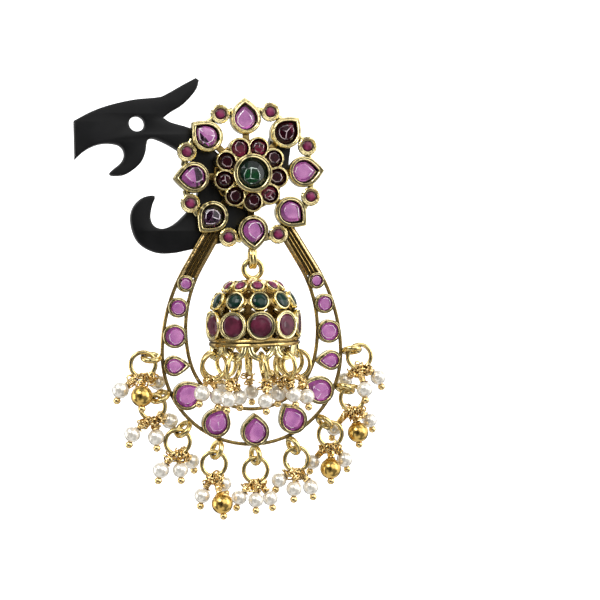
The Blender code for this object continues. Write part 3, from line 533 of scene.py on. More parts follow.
# The edge finishes paint glints on the worn table edges.
LILAC_EDGE = WornGlintEdge("#fbeef8", "#9a4a88").material()
GARNET = PressedGlass("#62182e", "#4a1224", "#909090", 0.75).material()
GARNET_CROWN_SHADE = PressedGlass("#4a1022", "#36091a", "#909090", 0.75).material()
GARNET_EDGE = WornGlintEdge("#d9c2c8", "#4a1828").material()
GREEN = PressedGlass("#2f8450", "#123a2c", "#b0b0b0", 0.85).material()
GREEN_CROWN_SHADE = PressedGlass("#173f33", "#0c2620", "#b0b0b0", 0.8).material()
GREEN_EDGE = WornGlintEdge("#d5e6da", "#143529").material()
RUBY_DOME = FoiledGlass("#90385f", "#350b1a", 0.8 * MM, (0.86, 1.0), 0.9 * MM).material()
GARNET_DOME = FoiledGlass("#66273c", "#1e060e").material()
GREEN_DOME = FoiledGlass("#0d3328", "#020806", 0.8 * MM, (0.75, 1.0), 0.9 * MM).material()
NACRE = PearlLustre().material()
ABS = SatinPlastic().material()
PAPER = PalePaper().material()
LILAC_CUT = [LILAC, LILAC_CROWN_SHADE, LILAC_EDGE]
GARNET_CUT = [GARNET, GARNET_CROWN_SHADE, GARNET_EDGE]
GREEN_CUT = [GREEN, GREEN_CROWN_SHADE, GREEN_EDGE]


class Casting:
    """Closed shells that are gathered into one piece."""

    def __init__(self) -> None:
        """Starts with nothing."""
        self.points: list[Vector] = []
        self.faces: list[tuple[int, ...]] = []
        # Faces that take the darker second finish: painted shade.
        self.deep: set[int] = set()
        self.glints: set[int] = set()

    def loft(self, rings: list[Ring], round_trip: bool = False) -> None:
        """Adds a closed shell through rings of points.

        Args:
            rings: Rings with equally many points.
            round_trip: Whether the last ring joins the first, or both are capped.
        """
        start = len(self.points)
        count = len(rings[0])
        for ring in rings:
            self.points.extend(ring)
        rows = [start + index * count for index in range(len(rings))]
        pairs = list(zip(rows, rows[1:]))
        if round_trip:
            pairs.append((rows[-1], rows[0]))
        for low, high in pairs:
            for index in range(count):
                after = (index + 1) % count
                self.faces.append((low + index, low + after, high + after, high + index))
        if not round_trip:
            self.faces.append(tuple(rows[0] + index for index in reversed(range(count))))
            self.faces.append(tuple(rows[-1] + index for index in range(count)))

    def tube(self, path: Ring, wire: float, sides: int = 10, normal: Vector | None = None,
             closed: bool = False, square: float = 1.0) -> None:
        """Adds a wire along a path.

        Args:
            path: The points that the wire's middle follows.
            wire: Its thickness.
            sides: Sides of its section.
            normal: Normal of the path's plane, or None where it isn't plane.
            closed: Whether the end meets the start.
            square: 1 for a round section, and less for one with flatter sides.
        """
        rings = []
        count = len(path)
        aside = None
        for index, point in enumerate(path):
            before = path[index - 1] if closed or index > 0 else point
            after = path[(index + 1) % count] if closed or index < count - 1 else point
            along = (after - before).normalized()
            if normal is not None:
                up = normal
            else:
                up = along.orthogonal() if aside is None else aside - along * aside.dot(along)
                up.normalize()
                aside = up
            across = along.cross(up).normalized()
            rings.append([
                point + (across * soft(math.cos(turn), square) + up * soft(math.sin(turn), square))
                * wire / 2 for turn in turns(sides)
            ])
        self.loft(rings, closed)

    def ring(self, centre: Vector, first: Vector, second: Vector, wire: float,
             segments: int = 32, sides: int = 10, square: float = 1.0) -> None:
        """Adds a closed round or oval ring.

        Args:
            centre: Its centre.
            first: One half axis of its middle line.
            second: The other half axis.
            wire: Its thickness.
            segments: Steps around it.
            sides: Sides of the wire.
            square: 1 for round wire, and less for wire with flatter sides.
        """
        path = [centre + first * math.cos(turn) + second * math.sin(turn) for turn in turns(segments)]
        self.tube(path, wire, sides, first.cross(second).normalized(), True, square)

    def turned(self, centre: Vector, axis: Vector, profile: Profile,
               segments: int = 24, flutes: int = 0, flute_depth: float = 0.0) -> None:
        """Adds a turned shape.

        Args:
            centre: Where the heights start.
            axis: Direction of the heights.
            profile: Radius and height of each step, with no sealed hollow.
            segments: Steps around it.
            flutes: How many flutes its outside has.
            flute_depth: Their depth.
        """
        first = axis.orthogonal().normalized()
        second = axis.cross(first)
        rings = []
        for radius, height in profile:
            rings.append([
                centre + axis * height + (first * math.cos(turn) + second * math.sin(turn))
                * (radius - flute_depth * (0.5 + 0.5 * math.cos(flutes * turn)))
                for turn in turns(segments)
            ])
        self.loft(rings)

    def ball(self, centre: Vector, radius: float, axis: Vector = DOWN, stretch: float = 1.0,
             segments: int = 20) -> None:
        """Adds a round bead.

        Args:
            centre: Its centre.
            radius: Its radius.
            axis: Direction of its hole.
            stretch: Its length along the axis as a share of its diameter.
            segments: Steps around it, and half as many along it.
        """
        steps = segments // 2
        profile = []
        for index in range(steps + 1):
            turn = math.pi * (index + 0.12 * (1 - 2 * index / steps)) / steps
            profile.append((radius * math.sin(turn), -radius * stretch * math.cos(turn)))
        self.turned(centre, axis, profile, segments)

    def mesh(self, name: str, glint: float = 0.0) -> bpy.types.Mesh:
        """Makes the mesh with its faces turned outward.

        Args:
            name: The mesh's name.
            glint: Width of the worn edges between the glint points, or 0.

        Returns:
            The mesh, with its painted-shade faces in the second material and its worn edges, painted as
            glints, in the third.
        """
        mesh = bpy.data.meshes.new(name)
        mesh.from_pydata(self.points, [], self.faces)
        shape = bmesh.new()
        shape.from_mesh(mesh)
        for face in shape.faces:
            face.material_index = 1 if face.index in self.deep else 0
        bmesh.ops.recalc_face_normals(shape, faces=shape.faces)
        if glint > 0:
            edges = [edge for edge in shape.edges
                     if all(point.index in self.glints for point in edge.verts)]
            bmesh.ops.bevel(shape, geom=edges, offset=glint, segments=2, profile=0.5,
                            affect="EDGES", clamp_overlap=True, material=2)
        shape.to_mesh(mesh)
        shape.free()
        return mesh

    def piece(self, name: str, finishes: list[bpy.types.Material], body: str, slot: Slot,
              nodes: list[str], sharp: float = 35.0, glint: float = 0.0) -> bpy.types.Object:
        """Makes the object, dresses it and hangs it on its body.

        Args:
            name: The piece's name.
            finishes: Its material, and those of its painted-shade faces and its painted glints if it has
                any.
            body: The body that it moves with.
            slot: Not used.
            nodes: The nodes that it stands for.
            sharp: Edges that turn more than this many degrees stay sharp.
            glint: Width of the worn edges between the glint points, or 0.

        Returns:
            The new object.
        """
        return dress(name, self.mesh(name, glint), finishes, body, nodes, sharp)


def dress(name: str, mesh: bpy.types.Mesh, finishes: list[bpy.types.Material], body: str,
          nodes: list[str], sharp: float = 35.0) -> bpy.types.Object:
    """Makes an object from a mesh, dresses it and hangs it on its body.

    Args:
        name: The piece's name.
        mesh: Its finished mesh.
        finishes: Its materials.
        body: The body that it moves with.
        nodes: The nodes that it stands for.
        sharp: Edges that turn more than this many degrees stay sharp.

    Returns:
        The new object.
    """
    for finish in finishes:
        mesh.materials.append(finish)
    mesh.shade_smooth()
    mesh.set_sharp_from_angle(angle=math.radians(sharp))
    item = put(name, mesh)
    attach(item, body)
    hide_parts(*nodes)
    LOG.info("%s: %d faces on %s", name, len(mesh.polygons), body)
    return item


def put(name: str, data: bpy.types.ID) -> bpy.types.Object:
    """Makes an object from a mesh, a curve, a light or a camera and puts it into the scene.

    Args:
        name: The object's name.
        data: What it is made from.

    Returns:
        The new object.
    """
    item = bpy.data.objects.new(name, data)
    bpy.context.scene.collection.objects.link(item)
    return item


def turns(count: int, start: float = 0.0) -> list[float]:
    """Equal steps around a circle, in radians."""
    return [start + 2 * math.pi * index / count for index in range(count)]


def soft(value: float, power: float) -> float:
    """A signed power, which flattens the sides of a section where it is less than 1."""
    return math.copysign(abs(value) ** power, value)


def polar(radius: float, angle: float, depth: float = 0.0, centre_z: float = 0.0) -> Vector:
    """A point in the plane of the face.

    Args:
        radius: Distance from the centre.
        angle: Degrees from +X towards +Z.
        depth: How far in front of the back plane it lies.
        centre_z: Height of the centre.

    Returns:
        The point.
    """
    turn = math.radians(angle)
    return Vector((radius * math.cos(turn), -depth, centre_z + radius * math.sin(turn)))


@dataclass
class Collet:
    """A collet with its stone, standing forward of a back plane."""

    name: str
    centre: Vector
    towards: Vector
    width: float
    length: float
    wall: float
    back: float
    front: float
    outline: Outline
    ledge: float
    table: float = 0.66
    points: int = 56
    facets: int = 10
    groove: float = 0.11 * MM
    ridged: bool = False
    uneven: float = 0.07
    flank: float = 0.25
    stone_gap: float = 0.05 * MM
    crown: float = 0.75 * MM
    stone_depth: float = 1.35 * MM
    table_drop: float = 0.12 * MM
    dent: float = 0.035 * MM
    table_shift: float = 0.55
    table_tilt: float = 0.06
    ridge: float = 0.14 * MM

    def reach(self, turn: float) -> float:
        """Distance from the centre to the outside of a pear of unit half width.

        Args:
            turn: Angle from the pear's tip, in radians.

        Returns:
            The distance.
        """
        longest = 2 * self.length / self.width - 1
        bend = math.acos(1 / longest)
        off = abs((turn + math.pi) % (2 * math.pi) - math.pi)
        straight = 1 / math.cos(bend - off) if off < bend else 1.0
        round_tip = 1 + (longest - 1) * max(0.0, math.cos(turn)) ** 5
        return straight + (round_tip - straight) * self.flank

    def ring(self, inset: float, depth: float, count: int, share: float = 1.0,
             shift: float = 0.0) -> Ring:
        """The outline at a depth.

        Args:
            inset: Distance inside the collet's outside.
            depth: Height above the back plane.
            count: Number of points.
            share: Size of the ring, as a share.
            shift: Turn of the points, in steps.

        Returns:
            The ring's points.
        """
        across = Vector((-self.towards.z, 0.0, self.towards.x))
        middle = Vector((self.centre.x, -depth, self.centre.z))
        half = self.width / 2
        points = []
        for turn in turns(count, 2 * math.pi * shift / count):
            if self.outline is Outline.PEAR:
                reach = self.reach(turn) * (half - inset) * share
                forward, aside = reach * math.cos(turn), reach * math.sin(turn)
            else:
                forward = (self.length / 2 - inset) * share * math.cos(turn)
                aside = (half - inset) * share * math.sin(turn)
            points.append(middle + self.towards * forward + across * aside)
        return points

    def cast(self, metal: Casting, chance: random.Random) -> None:
        """Adds the collet's wall: an outer ridge, a groove, a lip and a ledge for the stone.

        Args:
            metal: The casting that takes it.
            chance: Source of the small dents.
        """
        wall, front = self.wall, self.front
        seat = front - self.stone_depth
        profile = [
            (0.04 * MM, self.back), (0.0, self.back + 0.08 * MM), (0.0, front - 0.6 * MM),
            (0.02 * MM, front - 0.28 * MM), (0.10 * wall, front - 0.12 * MM),
            (0.22 * wall, front - 0.03 * MM), (0.36 * wall, front - 0.02 * MM),
            (0.46 * wall, front - self.groove), (0.58 * wall, front - self.groove),
            (0.66 * wall, front - 0.02 * MM), (0.80 * wall, front), (0.92 * wall, front - 0.05 * MM),
            (wall, front - 0.16 * MM), (wall + 0.03 * MM, front - 0.5 * MM), (wall + 0.03 * MM, seat),
            (wall + self.ledge, seat - 0.03 * MM), (wall + self.ledge, self.back),
        ]
        waves = [(chance.randint(3, 14), chance.uniform(0, 2 * math.pi)) for _ in range(5)]
        rings = []
        for step, (inset, depth) in enumerate(profile):
            ring = self.ring(inset, depth, self.points)
            # Only the wall's front is dented.
            if 2 <= step <= 12:
                for index, point in enumerate(ring):
                    turn = 2 * math.pi * index / self.points
                    wave = sum(math.cos(rate * turn + start) for rate, start in waves) / 3
                    point.y -= self.dent * (wave - 1.0)
            rings.append(ring)
        metal.loft(rings, True)

    def stone(self, chance: random.Random) -> Casting:
        """Cuts the stone: a flat back, a girdle, a facetted crown and an uneven table.

        Args:
            chance: Source of the table's tilt and of its uneven outline.

        Returns:
            The stone's casting.
        """
        inset = self.wall + self.stone_gap
        girdle = self.front - self.crown
        top = self.front - self.table_drop
        count = self.facets
        table = self.ring(inset, top, count, self.table)
        middle = Vector((self.centre.x, -top, self.centre.z))
        reach = (self.width / 2 - inset) * (1 - self.table) * self.table_shift
        shift = Vector((chance.uniform(-reach, reach), 0.0, chance.uniform(-reach, reach)))
        tilt = Vector((chance.uniform(-1, 1), 0.0, chance.uniform(-1, 1))) * self.table_tilt
        for point in table:
            point += (point - middle) * chance.uniform(-self.uneven, self.uneven) + shift
            point.y += (point - middle).dot(tilt)
        glass = Casting()
        glass.points = self.ring(inset, self.front - self.stone_depth, 2 * count)
        glass.points += self.ring(inset, girdle, 2 * count) + table
        for index in range(2 * count):
            after = (index + 1) % (2 * count)
            glass.faces.append((index, after, 2 * count + after, 2 * count + index))
        for index in range(count):
            after = (index + 1) % count
            first = 2 * count + 2 * index
            last = 2 * count + (2 * index + 2) % (2 * count)
            near, far = 4 * count + index, 4 * count + after
            glass.faces += [(first, first + 1, near), (near, first + 1, far), (first + 1, last, far)]
        # The girdle and crown faces take the darker copy of the glass: painted shade.
        glass.deep = set(range(len(glass.faces)))
        glass.faces.append(tuple(reversed(range(2 * count))))
        glass.glints = set(range(4 * count, 5 * count))
        if self.ridged:
            glass.points.append(middle + shift * 2 + FORWARD * self.ridge)
            glass.glints.add(5 * count)
            spokes = [0, round(count * 0.3), round(count * 0.65), count]
            for start, end in zip(spokes, spokes[1:]):
                rim = [4 * count + index % count for index in range(start, end + 1)]
                glass.faces.append((5 * count, *rim))
        else:
            glass.faces.append(tuple(4 * count + index for index in range(count)))
        return glass


@dataclass
class Flower:
    """The flower: eight pears, eight small rounds, nine petals and the centre."""

    turn: float = 2.5
    pears: int = 8
    pear_width: float = 5.8 * MM
    pear_length: float = 6.8 * MM
    pear_wall: float = 0.75 * MM
    pear_height: float = 2.2 * MM
    pear_tip: float = 14.35 * MM
    pear_ledge: float = 0.55 * MM
    round_ring: float = 12.4 * MM
    round_radius: float = 1.85 * MM
    round_bar: float = 1.3 * MM
    round_stone: float = 1.18 * MM
    round_height: float = 2.0 * MM
    round_reach: float = 12.0
    petals: int = 9
    petal_width: float = 4.0 * MM
    petal_length: float = 4.1 * MM
    petal_wall: float = 0.42 * MM
    petal_front: float = 3.6 * MM
    petal_back: float = 0.3 * MM
    petal_ring: float = 5.1 * MM
    centre_width: float = 7.3 * MM
    centre_wall: float = 0.8 * MM
    centre_front: float = 5.6 * MM
    centre_back: float = 0.5 * MM
    disc_radius: float = 3.4 * MM
    disc_thickness: float = 0.8 * MM
    back_ring: float = 6.1 * MM
    back_wire: float = 1.0 * MM
    strut_width: float = 1.2 * MM
    strut_thickness: float = 0.7 * MM
    ridged_pears: tuple[int, ...] = (2, 6, 8)
    broad_rims: tuple[int, ...] = (1, 2, 8)
    # This pear's lilac stone wears the darker garnet finishes as painted shade.
    shaded_pear: str = "flower_pear_stone_2"
    glint: float = 0.09 * MM

    def collets(self) -> list[Collet]:
        """The flower's collets, outermost first.

        Returns:
            The eight pears, the nine petals and the centre.
        """
        middle = self.pear_tip - self.pear_length + self.pear_width / 2
        found = []
        for index in range(self.pears):
            angle = 90.0 + self.turn - index * 360.0 / self.pears
            found.append(Collet(
                f"flower_pear_stone_{index + 1}", polar(middle, angle), polar(1.0, angle),
                self.pear_width, self.pear_length, self.pear_wall, 0.0, self.pear_height,
                Outline.PEAR, self.pear_ledge, ridged=index + 1 in self.ridged_pears,
                groove=(0.08 if index + 1 in self.broad_rims else 0.3) * MM))
        for index in range(self.petals):
            angle = -90.0 + self.turn + index * 360.0 / self.petals
            found.append(Collet(
                f"flower_petal_stone_{index + 1}", polar(self.petal_ring, angle), polar(1.0, angle),
                self.petal_width, self.petal_length, self.petal_wall, self.petal_back,
                self.petal_front, Outline.OVAL, 0.45 * MM, table=0.64, facets=7, points=40,
                ridged=index % 3 == 1, groove=0.06 * MM))
        found.append(Collet(
            "flower_centre_stone", Vector(), polar(1.0, 90.0), self.centre_width,
            self.centre_width, self.centre_wall, self.centre_back, self.centre_front,
            Outline.OVAL, 0.7 * MM, table=0.58, facets=9, points=64, crown=0.9 * MM,
            stone_depth=1.8 * MM, groove=0.3 * MM, ridged=True, uneven=0.14))
        return found

    def small_rounds(self, metal: Casting, glass: Casting) -> None:
        """Adds the small rounds: fluted cups with domed stones.

        Args:
            metal: The casting of the cups.
            glass: The casting of the stones.
        """
        rim, wide = self.round_height, self.round_radius
        inner = self.round_stone + 0.06 * MM
        cup = [
            (0.6 * wide, 0.1 * MM), (0.85 * wide, 0.15 * MM), (0.9 * wide, 0.6 * MM),
            (wide, 1.0 * MM), (wide, rim - 0.4 * MM), (0.97 * wide, rim - 0.12 * MM),
            (0.9 * wide, rim - 0.03 * MM), (0.78 * wide, rim - 0.08 * MM),
            (0.76 * wide, rim - 0.75 * MM),
        ]
        lip = [
            (0.7 * wide, rim - 0.3 * MM), (0.85 * wide, rim - 0.2 * MM),
            (0.86 * wide, rim - 0.03 * MM), (0.8 * wide, rim + 0.06 * MM),
            (0.74 * wide, rim + 0.05 * MM), (inner, rim - 0.1 * MM), (inner, rim - 0.6 * MM),
        ]
        dome = [(self.round_stone, rim - 0.6 * MM)]
        for step in range(7):
            lift = math.pi / 2 * step / 6.6
            dome.append((self.round_stone * math.cos(lift),
                         rim - 0.5 * MM + 0.5 * MM * math.sin(lift)))
        for index in range(self.pears):
            angle = 90.0 + self.turn + (index + 0.5) * 360.0 / self.pears
            foot = polar(self.round_ring, angle)
            metal.turned(foot, FORWARD, cup, 72, 18, 0.10 * MM)
            for side in (-1, 1):
                near = foot + FORWARD * 0.45 * MM
                far = polar(0.985 * self.round_ring, angle + side * self.round_reach, 0.45 * MM)
                metal.tube([near, far], self.round_bar, 10, -FORWARD, False, 0.7)
            metal.turned(foot, FORWARD, lip, 40)
            glass.turned(foot, FORWARD, dome, 28)

    def build(self) -> None:
        """Makes the flower's pieces."""
        chance = random.Random(7)
        collets, rounds, domes, back = Casting(), Casting(), Casting(), Casting()
        for collet in self.collets():
            collet.cast(collets, chance)
            finishes, slot = LILAC_CUT, Slot.LILAC
            # The shaded pear wears the garnet finishes as painted shade; its slot stays lilac.
            if collet.name == self.shaded_pear:
                finishes = GARNET_CUT
            if "petal" in collet.name:
                finishes, slot = GARNET_CUT, Slot.GARNET
            if "centre" in collet.name:
                finishes, slot = GREEN_CUT, Slot.GREEN
            collet.stone(chance).piece(
                collet.name.replace("stone", "glass"), finishes, "root", slot, [collet.name],
                FACET_TURN, self.glint)
        self.small_rounds(rounds, domes)
        back.turned(Vector(), FORWARD, [
            (self.disc_radius - 0.15 * MM, 0.0), (self.disc_radius, 0.15 * MM),
            (self.disc_radius, self.disc_thickness - 0.1 * MM),
            (self.disc_radius - 0.1 * MM, self.disc_thickness),
        ], 48)
        back.ring(Vector((0.0, -self.back_wire / 2, 0.0)), Vector((self.back_ring, 0.0, 0.0)),
                  Vector((0.0, 0.0, self.back_ring)), self.back_wire, 72, 12, 0.8)
        for index in range(self.pears):
            angle = 90.0 + self.turn - index * 360.0 / self.pears
            aside = polar(self.strut_width / 2, angle + 90.0)
            rings = []
            for reach in (self.back_ring, self.pear_tip - self.pear_length + self.pear_wall / 2):
                near = polar(reach, angle, 0.1 * MM)
                far = near + FORWARD * self.strut_thickness
                rings.append([near - aside, near + aside, far + aside, far - aside])
            back.loft(rings)
        collets.piece("flower_collets", [ANTIQUE], "root", Slot.GOLD, ["setting"])
        rounds.piece("flower_round_cups", [ANTIQUE], "root", Slot.GOLD, ["setting"])
        back.piece("flower_back", [OXIDISED], "root", Slot.GOLD, ["setting"])
        domes.piece("flower_round_glass", [RUBY_DOME], "root", Slot.LILAC, ["setting"])


@dataclass
class EarPost:
    """The post behind the flower and the clutch on it."""

    diameter: float = 1.0 * MM
    length: float = 11.0 * MM
    clutch_front: float = 3.6 * MM
    clutch_diameter: float = 5.5 * MM
    clutch_length: float = 3.6 * MM
    clutch_gap: float = 0.2 * MM
    flange: float = 0.8 * MM
    neck: float = 0.67

    def build(self) -> None:
        """Makes the post and the clutch."""
        backward = -FORWARD
        post = Casting()
        half = self.diameter / 2
        post.turned(Vector(), backward, [
            (1.5 * half, -0.3 * MM), (1.4 * half, 0.12 * MM), (half, 0.25 * MM),
            (half, self.length - 2.4 * MM), (0.82 * half, self.length - 2.1 * MM),
            (0.82 * half, self.length - 1.7 * MM), (half, self.length - 1.4 * MM),
            (half, self.length - 0.4 * MM), (0.5 * half, self.length),
        ], 24)
        post.piece("ear_post_pin", [BRIGHT], "root", Slot.GOLD, ["setting"])
        clutch = Casting()
        bore = half + self.clutch_gap
        wide = self.clutch_diameter / 2
        narrow = wide * self.neck
        front, back = self.clutch_front, self.clutch_front + self.clutch_length
        rings = []
        for radius, depth in [
                (bore, front + 0.1 * MM), (bore + 0.1 * MM, front), (wide - 0.15 * MM, front),
                (wide, front + 0.15 * MM), (wide, front + self.flange - 0.15 * MM),
                (wide - 0.2 * MM, front + self.flange), (narrow, front + 1.5 * self.flange),
                (narrow, back - 1.2 * MM), (narrow - 0.12 * MM, back - 1.05 * MM),
                (narrow, back - 0.9 * MM), (narrow, back - 0.3 * MM),
                (narrow - 0.3 * MM, back), (bore, back)]:
            rings.append([Vector((radius * math.cos(turn), depth, radius * math.sin(turn)))
                          for turn in turns(40)])
        clutch.loft(rings, True)
        clutch.piece("ear_clutch_barrel", [BRIGHT], "root", Slot.GOLD, ["ear_clutch"])


@dataclass
class Hoop:
    """The open hoop below the flower, with its stones, ribbed arms and rim loops."""

    centre_z: float = -33.6 * MM
    outer_radius: float = 17.4 * MM
    side_band: float = 5.16 * MM
    waist_z: float = -29.0 * MM
    bend: float = 13.9
    shoulder_end_z: float = -17.0 * MM
    top_z: float = -10.0 * MM
    outer_top: float = 16.285 * MM
    inner_top: float = 10.395 * MM
    wire: float = 0.7 * MM
    plane: float = 0.8 * MM
    collet_height: float = 2.1 * MM
    collet_wall: float = 0.65 * MM
    pear_width: float = 5.4 * MM
    pear_length: float = 6.3 * MM
    pear_inset: float = 2.7 * MM
    pear_step: float = 30.0
    teardrop_width: float = 3.9 * MM
    teardrop_length: float = 5.1 * MM
    teardrop_height: float = -1.7 * MM
    arm_bottom_z: float = -19.1 * MM
    arm_thickness: float = 1.1 * MM
    rib_height: float = 0.4 * MM
    ribs: int = 4
    loops: int = 9
    loop_step: float = 22.5
    loop_radius: float = 1.5 * MM
    loop_wire: float = 0.9 * MM
    loop_sink: float = 0.2 * MM
    loop_plane: float = 1.0 * MM
    loop_twist: float = 20.0
    bail_side: float = 0.3 * MM
    bail_radius: float = 1.1 * MM
    bail_stretch: float = 1.45
    bail_top_z: float = -13.6 * MM
    bail_half_gap: float = 0.3 * MM
    glint: float = 0.06 * MM

    def shoulder(self, side: float, radius: float, rise: float, end: float) -> float:
        """Half width of a shoulder.

        Args:
            side: Half width at the widest place.
            radius: Radius of the shoulder's arc.
            rise: Height above the widest place.
            end: Height where the arc turns into a straight run.

        Returns:
            The half width at that rise.
        """
        held = min(rise, end)
        drop = math.sqrt(radius ** 2 - held ** 2)
        return side - radius + drop - (rise - held) * held / drop

    def arc_radius(self, side: float, end: float, top_rise: float, top: float) -> float:
        """Radius of the shoulder that reaches a half width at the top.

        Args:
            side: Half width at the widest place.
            end: Height where the arc turns into a straight run.
            top_rise: Height of the top.
            top: Half width there.

        Returns:
            The arc's radius.
        """
        small, large = 1.01 * end, 100 * end
        for _ in range(50):
            middle = (small + large) / 2
            if self.shoulder(side, middle, top_rise, end) < top:
                small = middle
            else:
                large = middle
        return small

    def outer(self, height: float) -> float:
        """Half width of the outer wire's middle at a height above the hoop's centre.

        Args:
            height: The height.

        Returns:
            The half width.
        """
        side = self.outer_radius - self.wire / 2
        end = self.shoulder_end_z - self.centre_z
        radius = self.arc_radius(side, end, self.top_z - self.centre_z, self.outer_top / 2)
        return self.shoulder(side, radius, height, end)

    def inner_arc(self) -> tuple[float, float]:
        """Half width of the inner wire's waist and the radius of the arc above it.

        Returns:
            The half width and the radius.
        """
        side = self.outer_radius - self.side_band + self.wire / 2
        end = self.shoulder_end_z - self.waist_z
        return side, self.arc_radius(side, end, self.top_z - self.waist_z, self.inner_top / 2)

    def inner(self, height: float) -> float:
        """Half width of the inner wire's middle at a height above the hoop's centre.

        Args:
            height: The height.

        Returns:
            The half width.
        """
        side, radius = self.inner_arc()
        rise = height + self.centre_z - self.waist_z
        return self.shoulder(side, radius, rise, self.shoulder_end_z - self.waist_z)

    def collets(self) -> list[Collet]:
        """The hoop's collets, from the shoulders down and around the bottom.

        Returns:
            Four collets of each side and the five pears of the bottom.
        """
        found = []
        for side, label in ((-1, "left"), (1, "right")):
            for name, width, height in (
                    ("small", 3.2 * MM, 13.5 * MM), ("medium", 3.8 * MM, 9.1 * MM),
                    ("large", 4.5 * MM, 3.8 * MM)):
                middle = (self.outer(height) + self.inner(height)) / 2
                found.append(Collet(
                    f"hoop_{name}_stone_{label}",
                    Vector((side * middle, 0.0, self.centre_z + height)), polar(1.0, 90.0), width,
                    width, 0.8 * self.collet_wall, 0.0, self.collet_height, Outline.OVAL,
                    0.12 * MM, table=0.8, facets=9, points=44, groove=0.26 * MM))
            shift = (self.teardrop_length - self.teardrop_width) / 2
            middle = (self.outer(0.0) + self.inner(self.teardrop_height)) / 2 + shift
            found.append(Collet(
                f"hoop_teardrop_stone_{label}",
                Vector((side * middle, 0.0, self.centre_z + self.teardrop_height)),
                polar(1.0, 90.0 + side * 90.0), self.teardrop_width, self.teardrop_length,
                0.9 * self.collet_wall, 0.0, self.collet_height, Outline.PEAR, 0.15 * MM,
                table=0.74, points=48, groove=0.26 * MM, uneven=0.1))
        for index in range(-2, 3):
            angle = -90.0 + index * self.pear_step
            centre = polar(self.outer_radius - self.pear_inset, angle, 0.0, self.centre_z)
            found.append(Collet(
                f"hoop_pear_stone_{index + 3}", centre, polar(1.0, angle + 180.0), self.pear_width,
                self.pear_length, self.collet_wall, 0.0, self.collet_height, Outline.PEAR,
                0.22 * MM, table=0.76, groove=0.28 * MM, uneven=0.12,
                ridged=index in (-1, 2), facets=8))
        return found

    def wire_path(self, half: Callable[[float], float], top: float, low: float, arc: Ring,
                  steps: int) -> Ring:
        """The middle of a wire, down its left side, round the bottom and up its right side.

        Args:
            half: Gives half the wire's width at a height above the hoop's centre.
            top: Height of its ends.
            low: Height where its bottom arc starts.
            arc: The points of the bottom arc.
            steps: Steps of each side.

        Returns:
            The path.
        """
        heights = [top + (low - top) * step / steps for step in range(steps)]
        left = [Vector((-half(height), -self.plane, self.centre_z + height)) for height in heights]
        right = [Vector((-point.x, point.y, point.z)) for point in reversed(left)]
        return left + arc + right

    def outer_path(self) -> Ring:
        """The middle of the outer wire.

        Returns:
            Its points, from the left end to the right one.
        """
        radius = self.outer_radius - self.wire / 2
        arc = [polar(radius, 180.0 + 180.0 * step / 56, self.plane, self.centre_z)
               for step in range(57)]
        top = self.top_z - self.centre_z + 0.8 * MM
        return self.wire_path(self.outer, top, 0.0, arc, 22)

    def inner_path(self) -> Ring:
        """The middle of the inner wire.

        Returns:
            Its points, from the left end to the right one.
        """
        bend = math.radians(self.bend)
        _, shoulder = self.inner_arc()
        low = self.waist_z - self.centre_z - shoulder * math.sin(bend)
        radius = self.inner(low) / math.cos(bend)
        middle_z = self.centre_z + low + radius * math.sin(bend)
        span = 180.0 - 2 * self.bend
        arc = [polar(radius, 180.0 + self.bend + span * step / 40, self.plane, middle_z)
               for step in range(41)]
        top = self.top_z - self.centre_z + 0.4 * MM
        return self.wire_path(self.inner, top, low, arc, 20)

    def ribbed_arm(self, metal: Casting, side: int) -> None:
        """Adds the ribbed strip between the two wires.

        Args:
            metal: The casting that takes it.
            side: -1 for the left arm and 1 for the right one.
        """
        low = self.arm_bottom_z - self.centre_z
        high = self.top_z - self.centre_z + 0.6 * MM
        back = self.plane - self.arm_thickness / 2
        front = self.plane + self.arm_thickness / 2 - 0.2 * MM
        steps = 8 * self.ribs
        rings = []
        for section in range(19):
            height = low + (high - low) * section / 18
            inner, outer = self.inner(height), self.outer(height)
            ring = [Vector((side * outer, -back, 0.0)), Vector((side * inner, -back, 0.0))]
            for step in range(steps + 1):
                wave = 0.5 - 0.5 * math.cos(2 * math.pi * step / 8)
                x = inner + (outer - inner) * step / steps
                ring.append(Vector((side * x, -front - (self.rib_height + 0.2 * MM) * wave ** 1.4, 0)))
            for point in ring:
                point.z = self.centre_z + height
            rings.append(ring)
        metal.loft(rings)

    def loop_centre(self, index: int) -> Vector:
        """Centre of a rim loop, counted from the left side round the bottom."""
        reach = self.outer_radius - self.loop_sink + self.loop_wire / 2 + self.loop_radius
        return polar(reach, 180.0 + index * self.loop_step, self.loop_plane, self.centre_z)

    def bail_centre(self) -> Vector:
        """Centre of the cast loop that carries the bell."""
        drop = self.bail_radius * self.bail_stretch + self.loop_wire / 2
        return Vector((self.bail_side, -self.loop_plane, self.bail_top_z - drop))

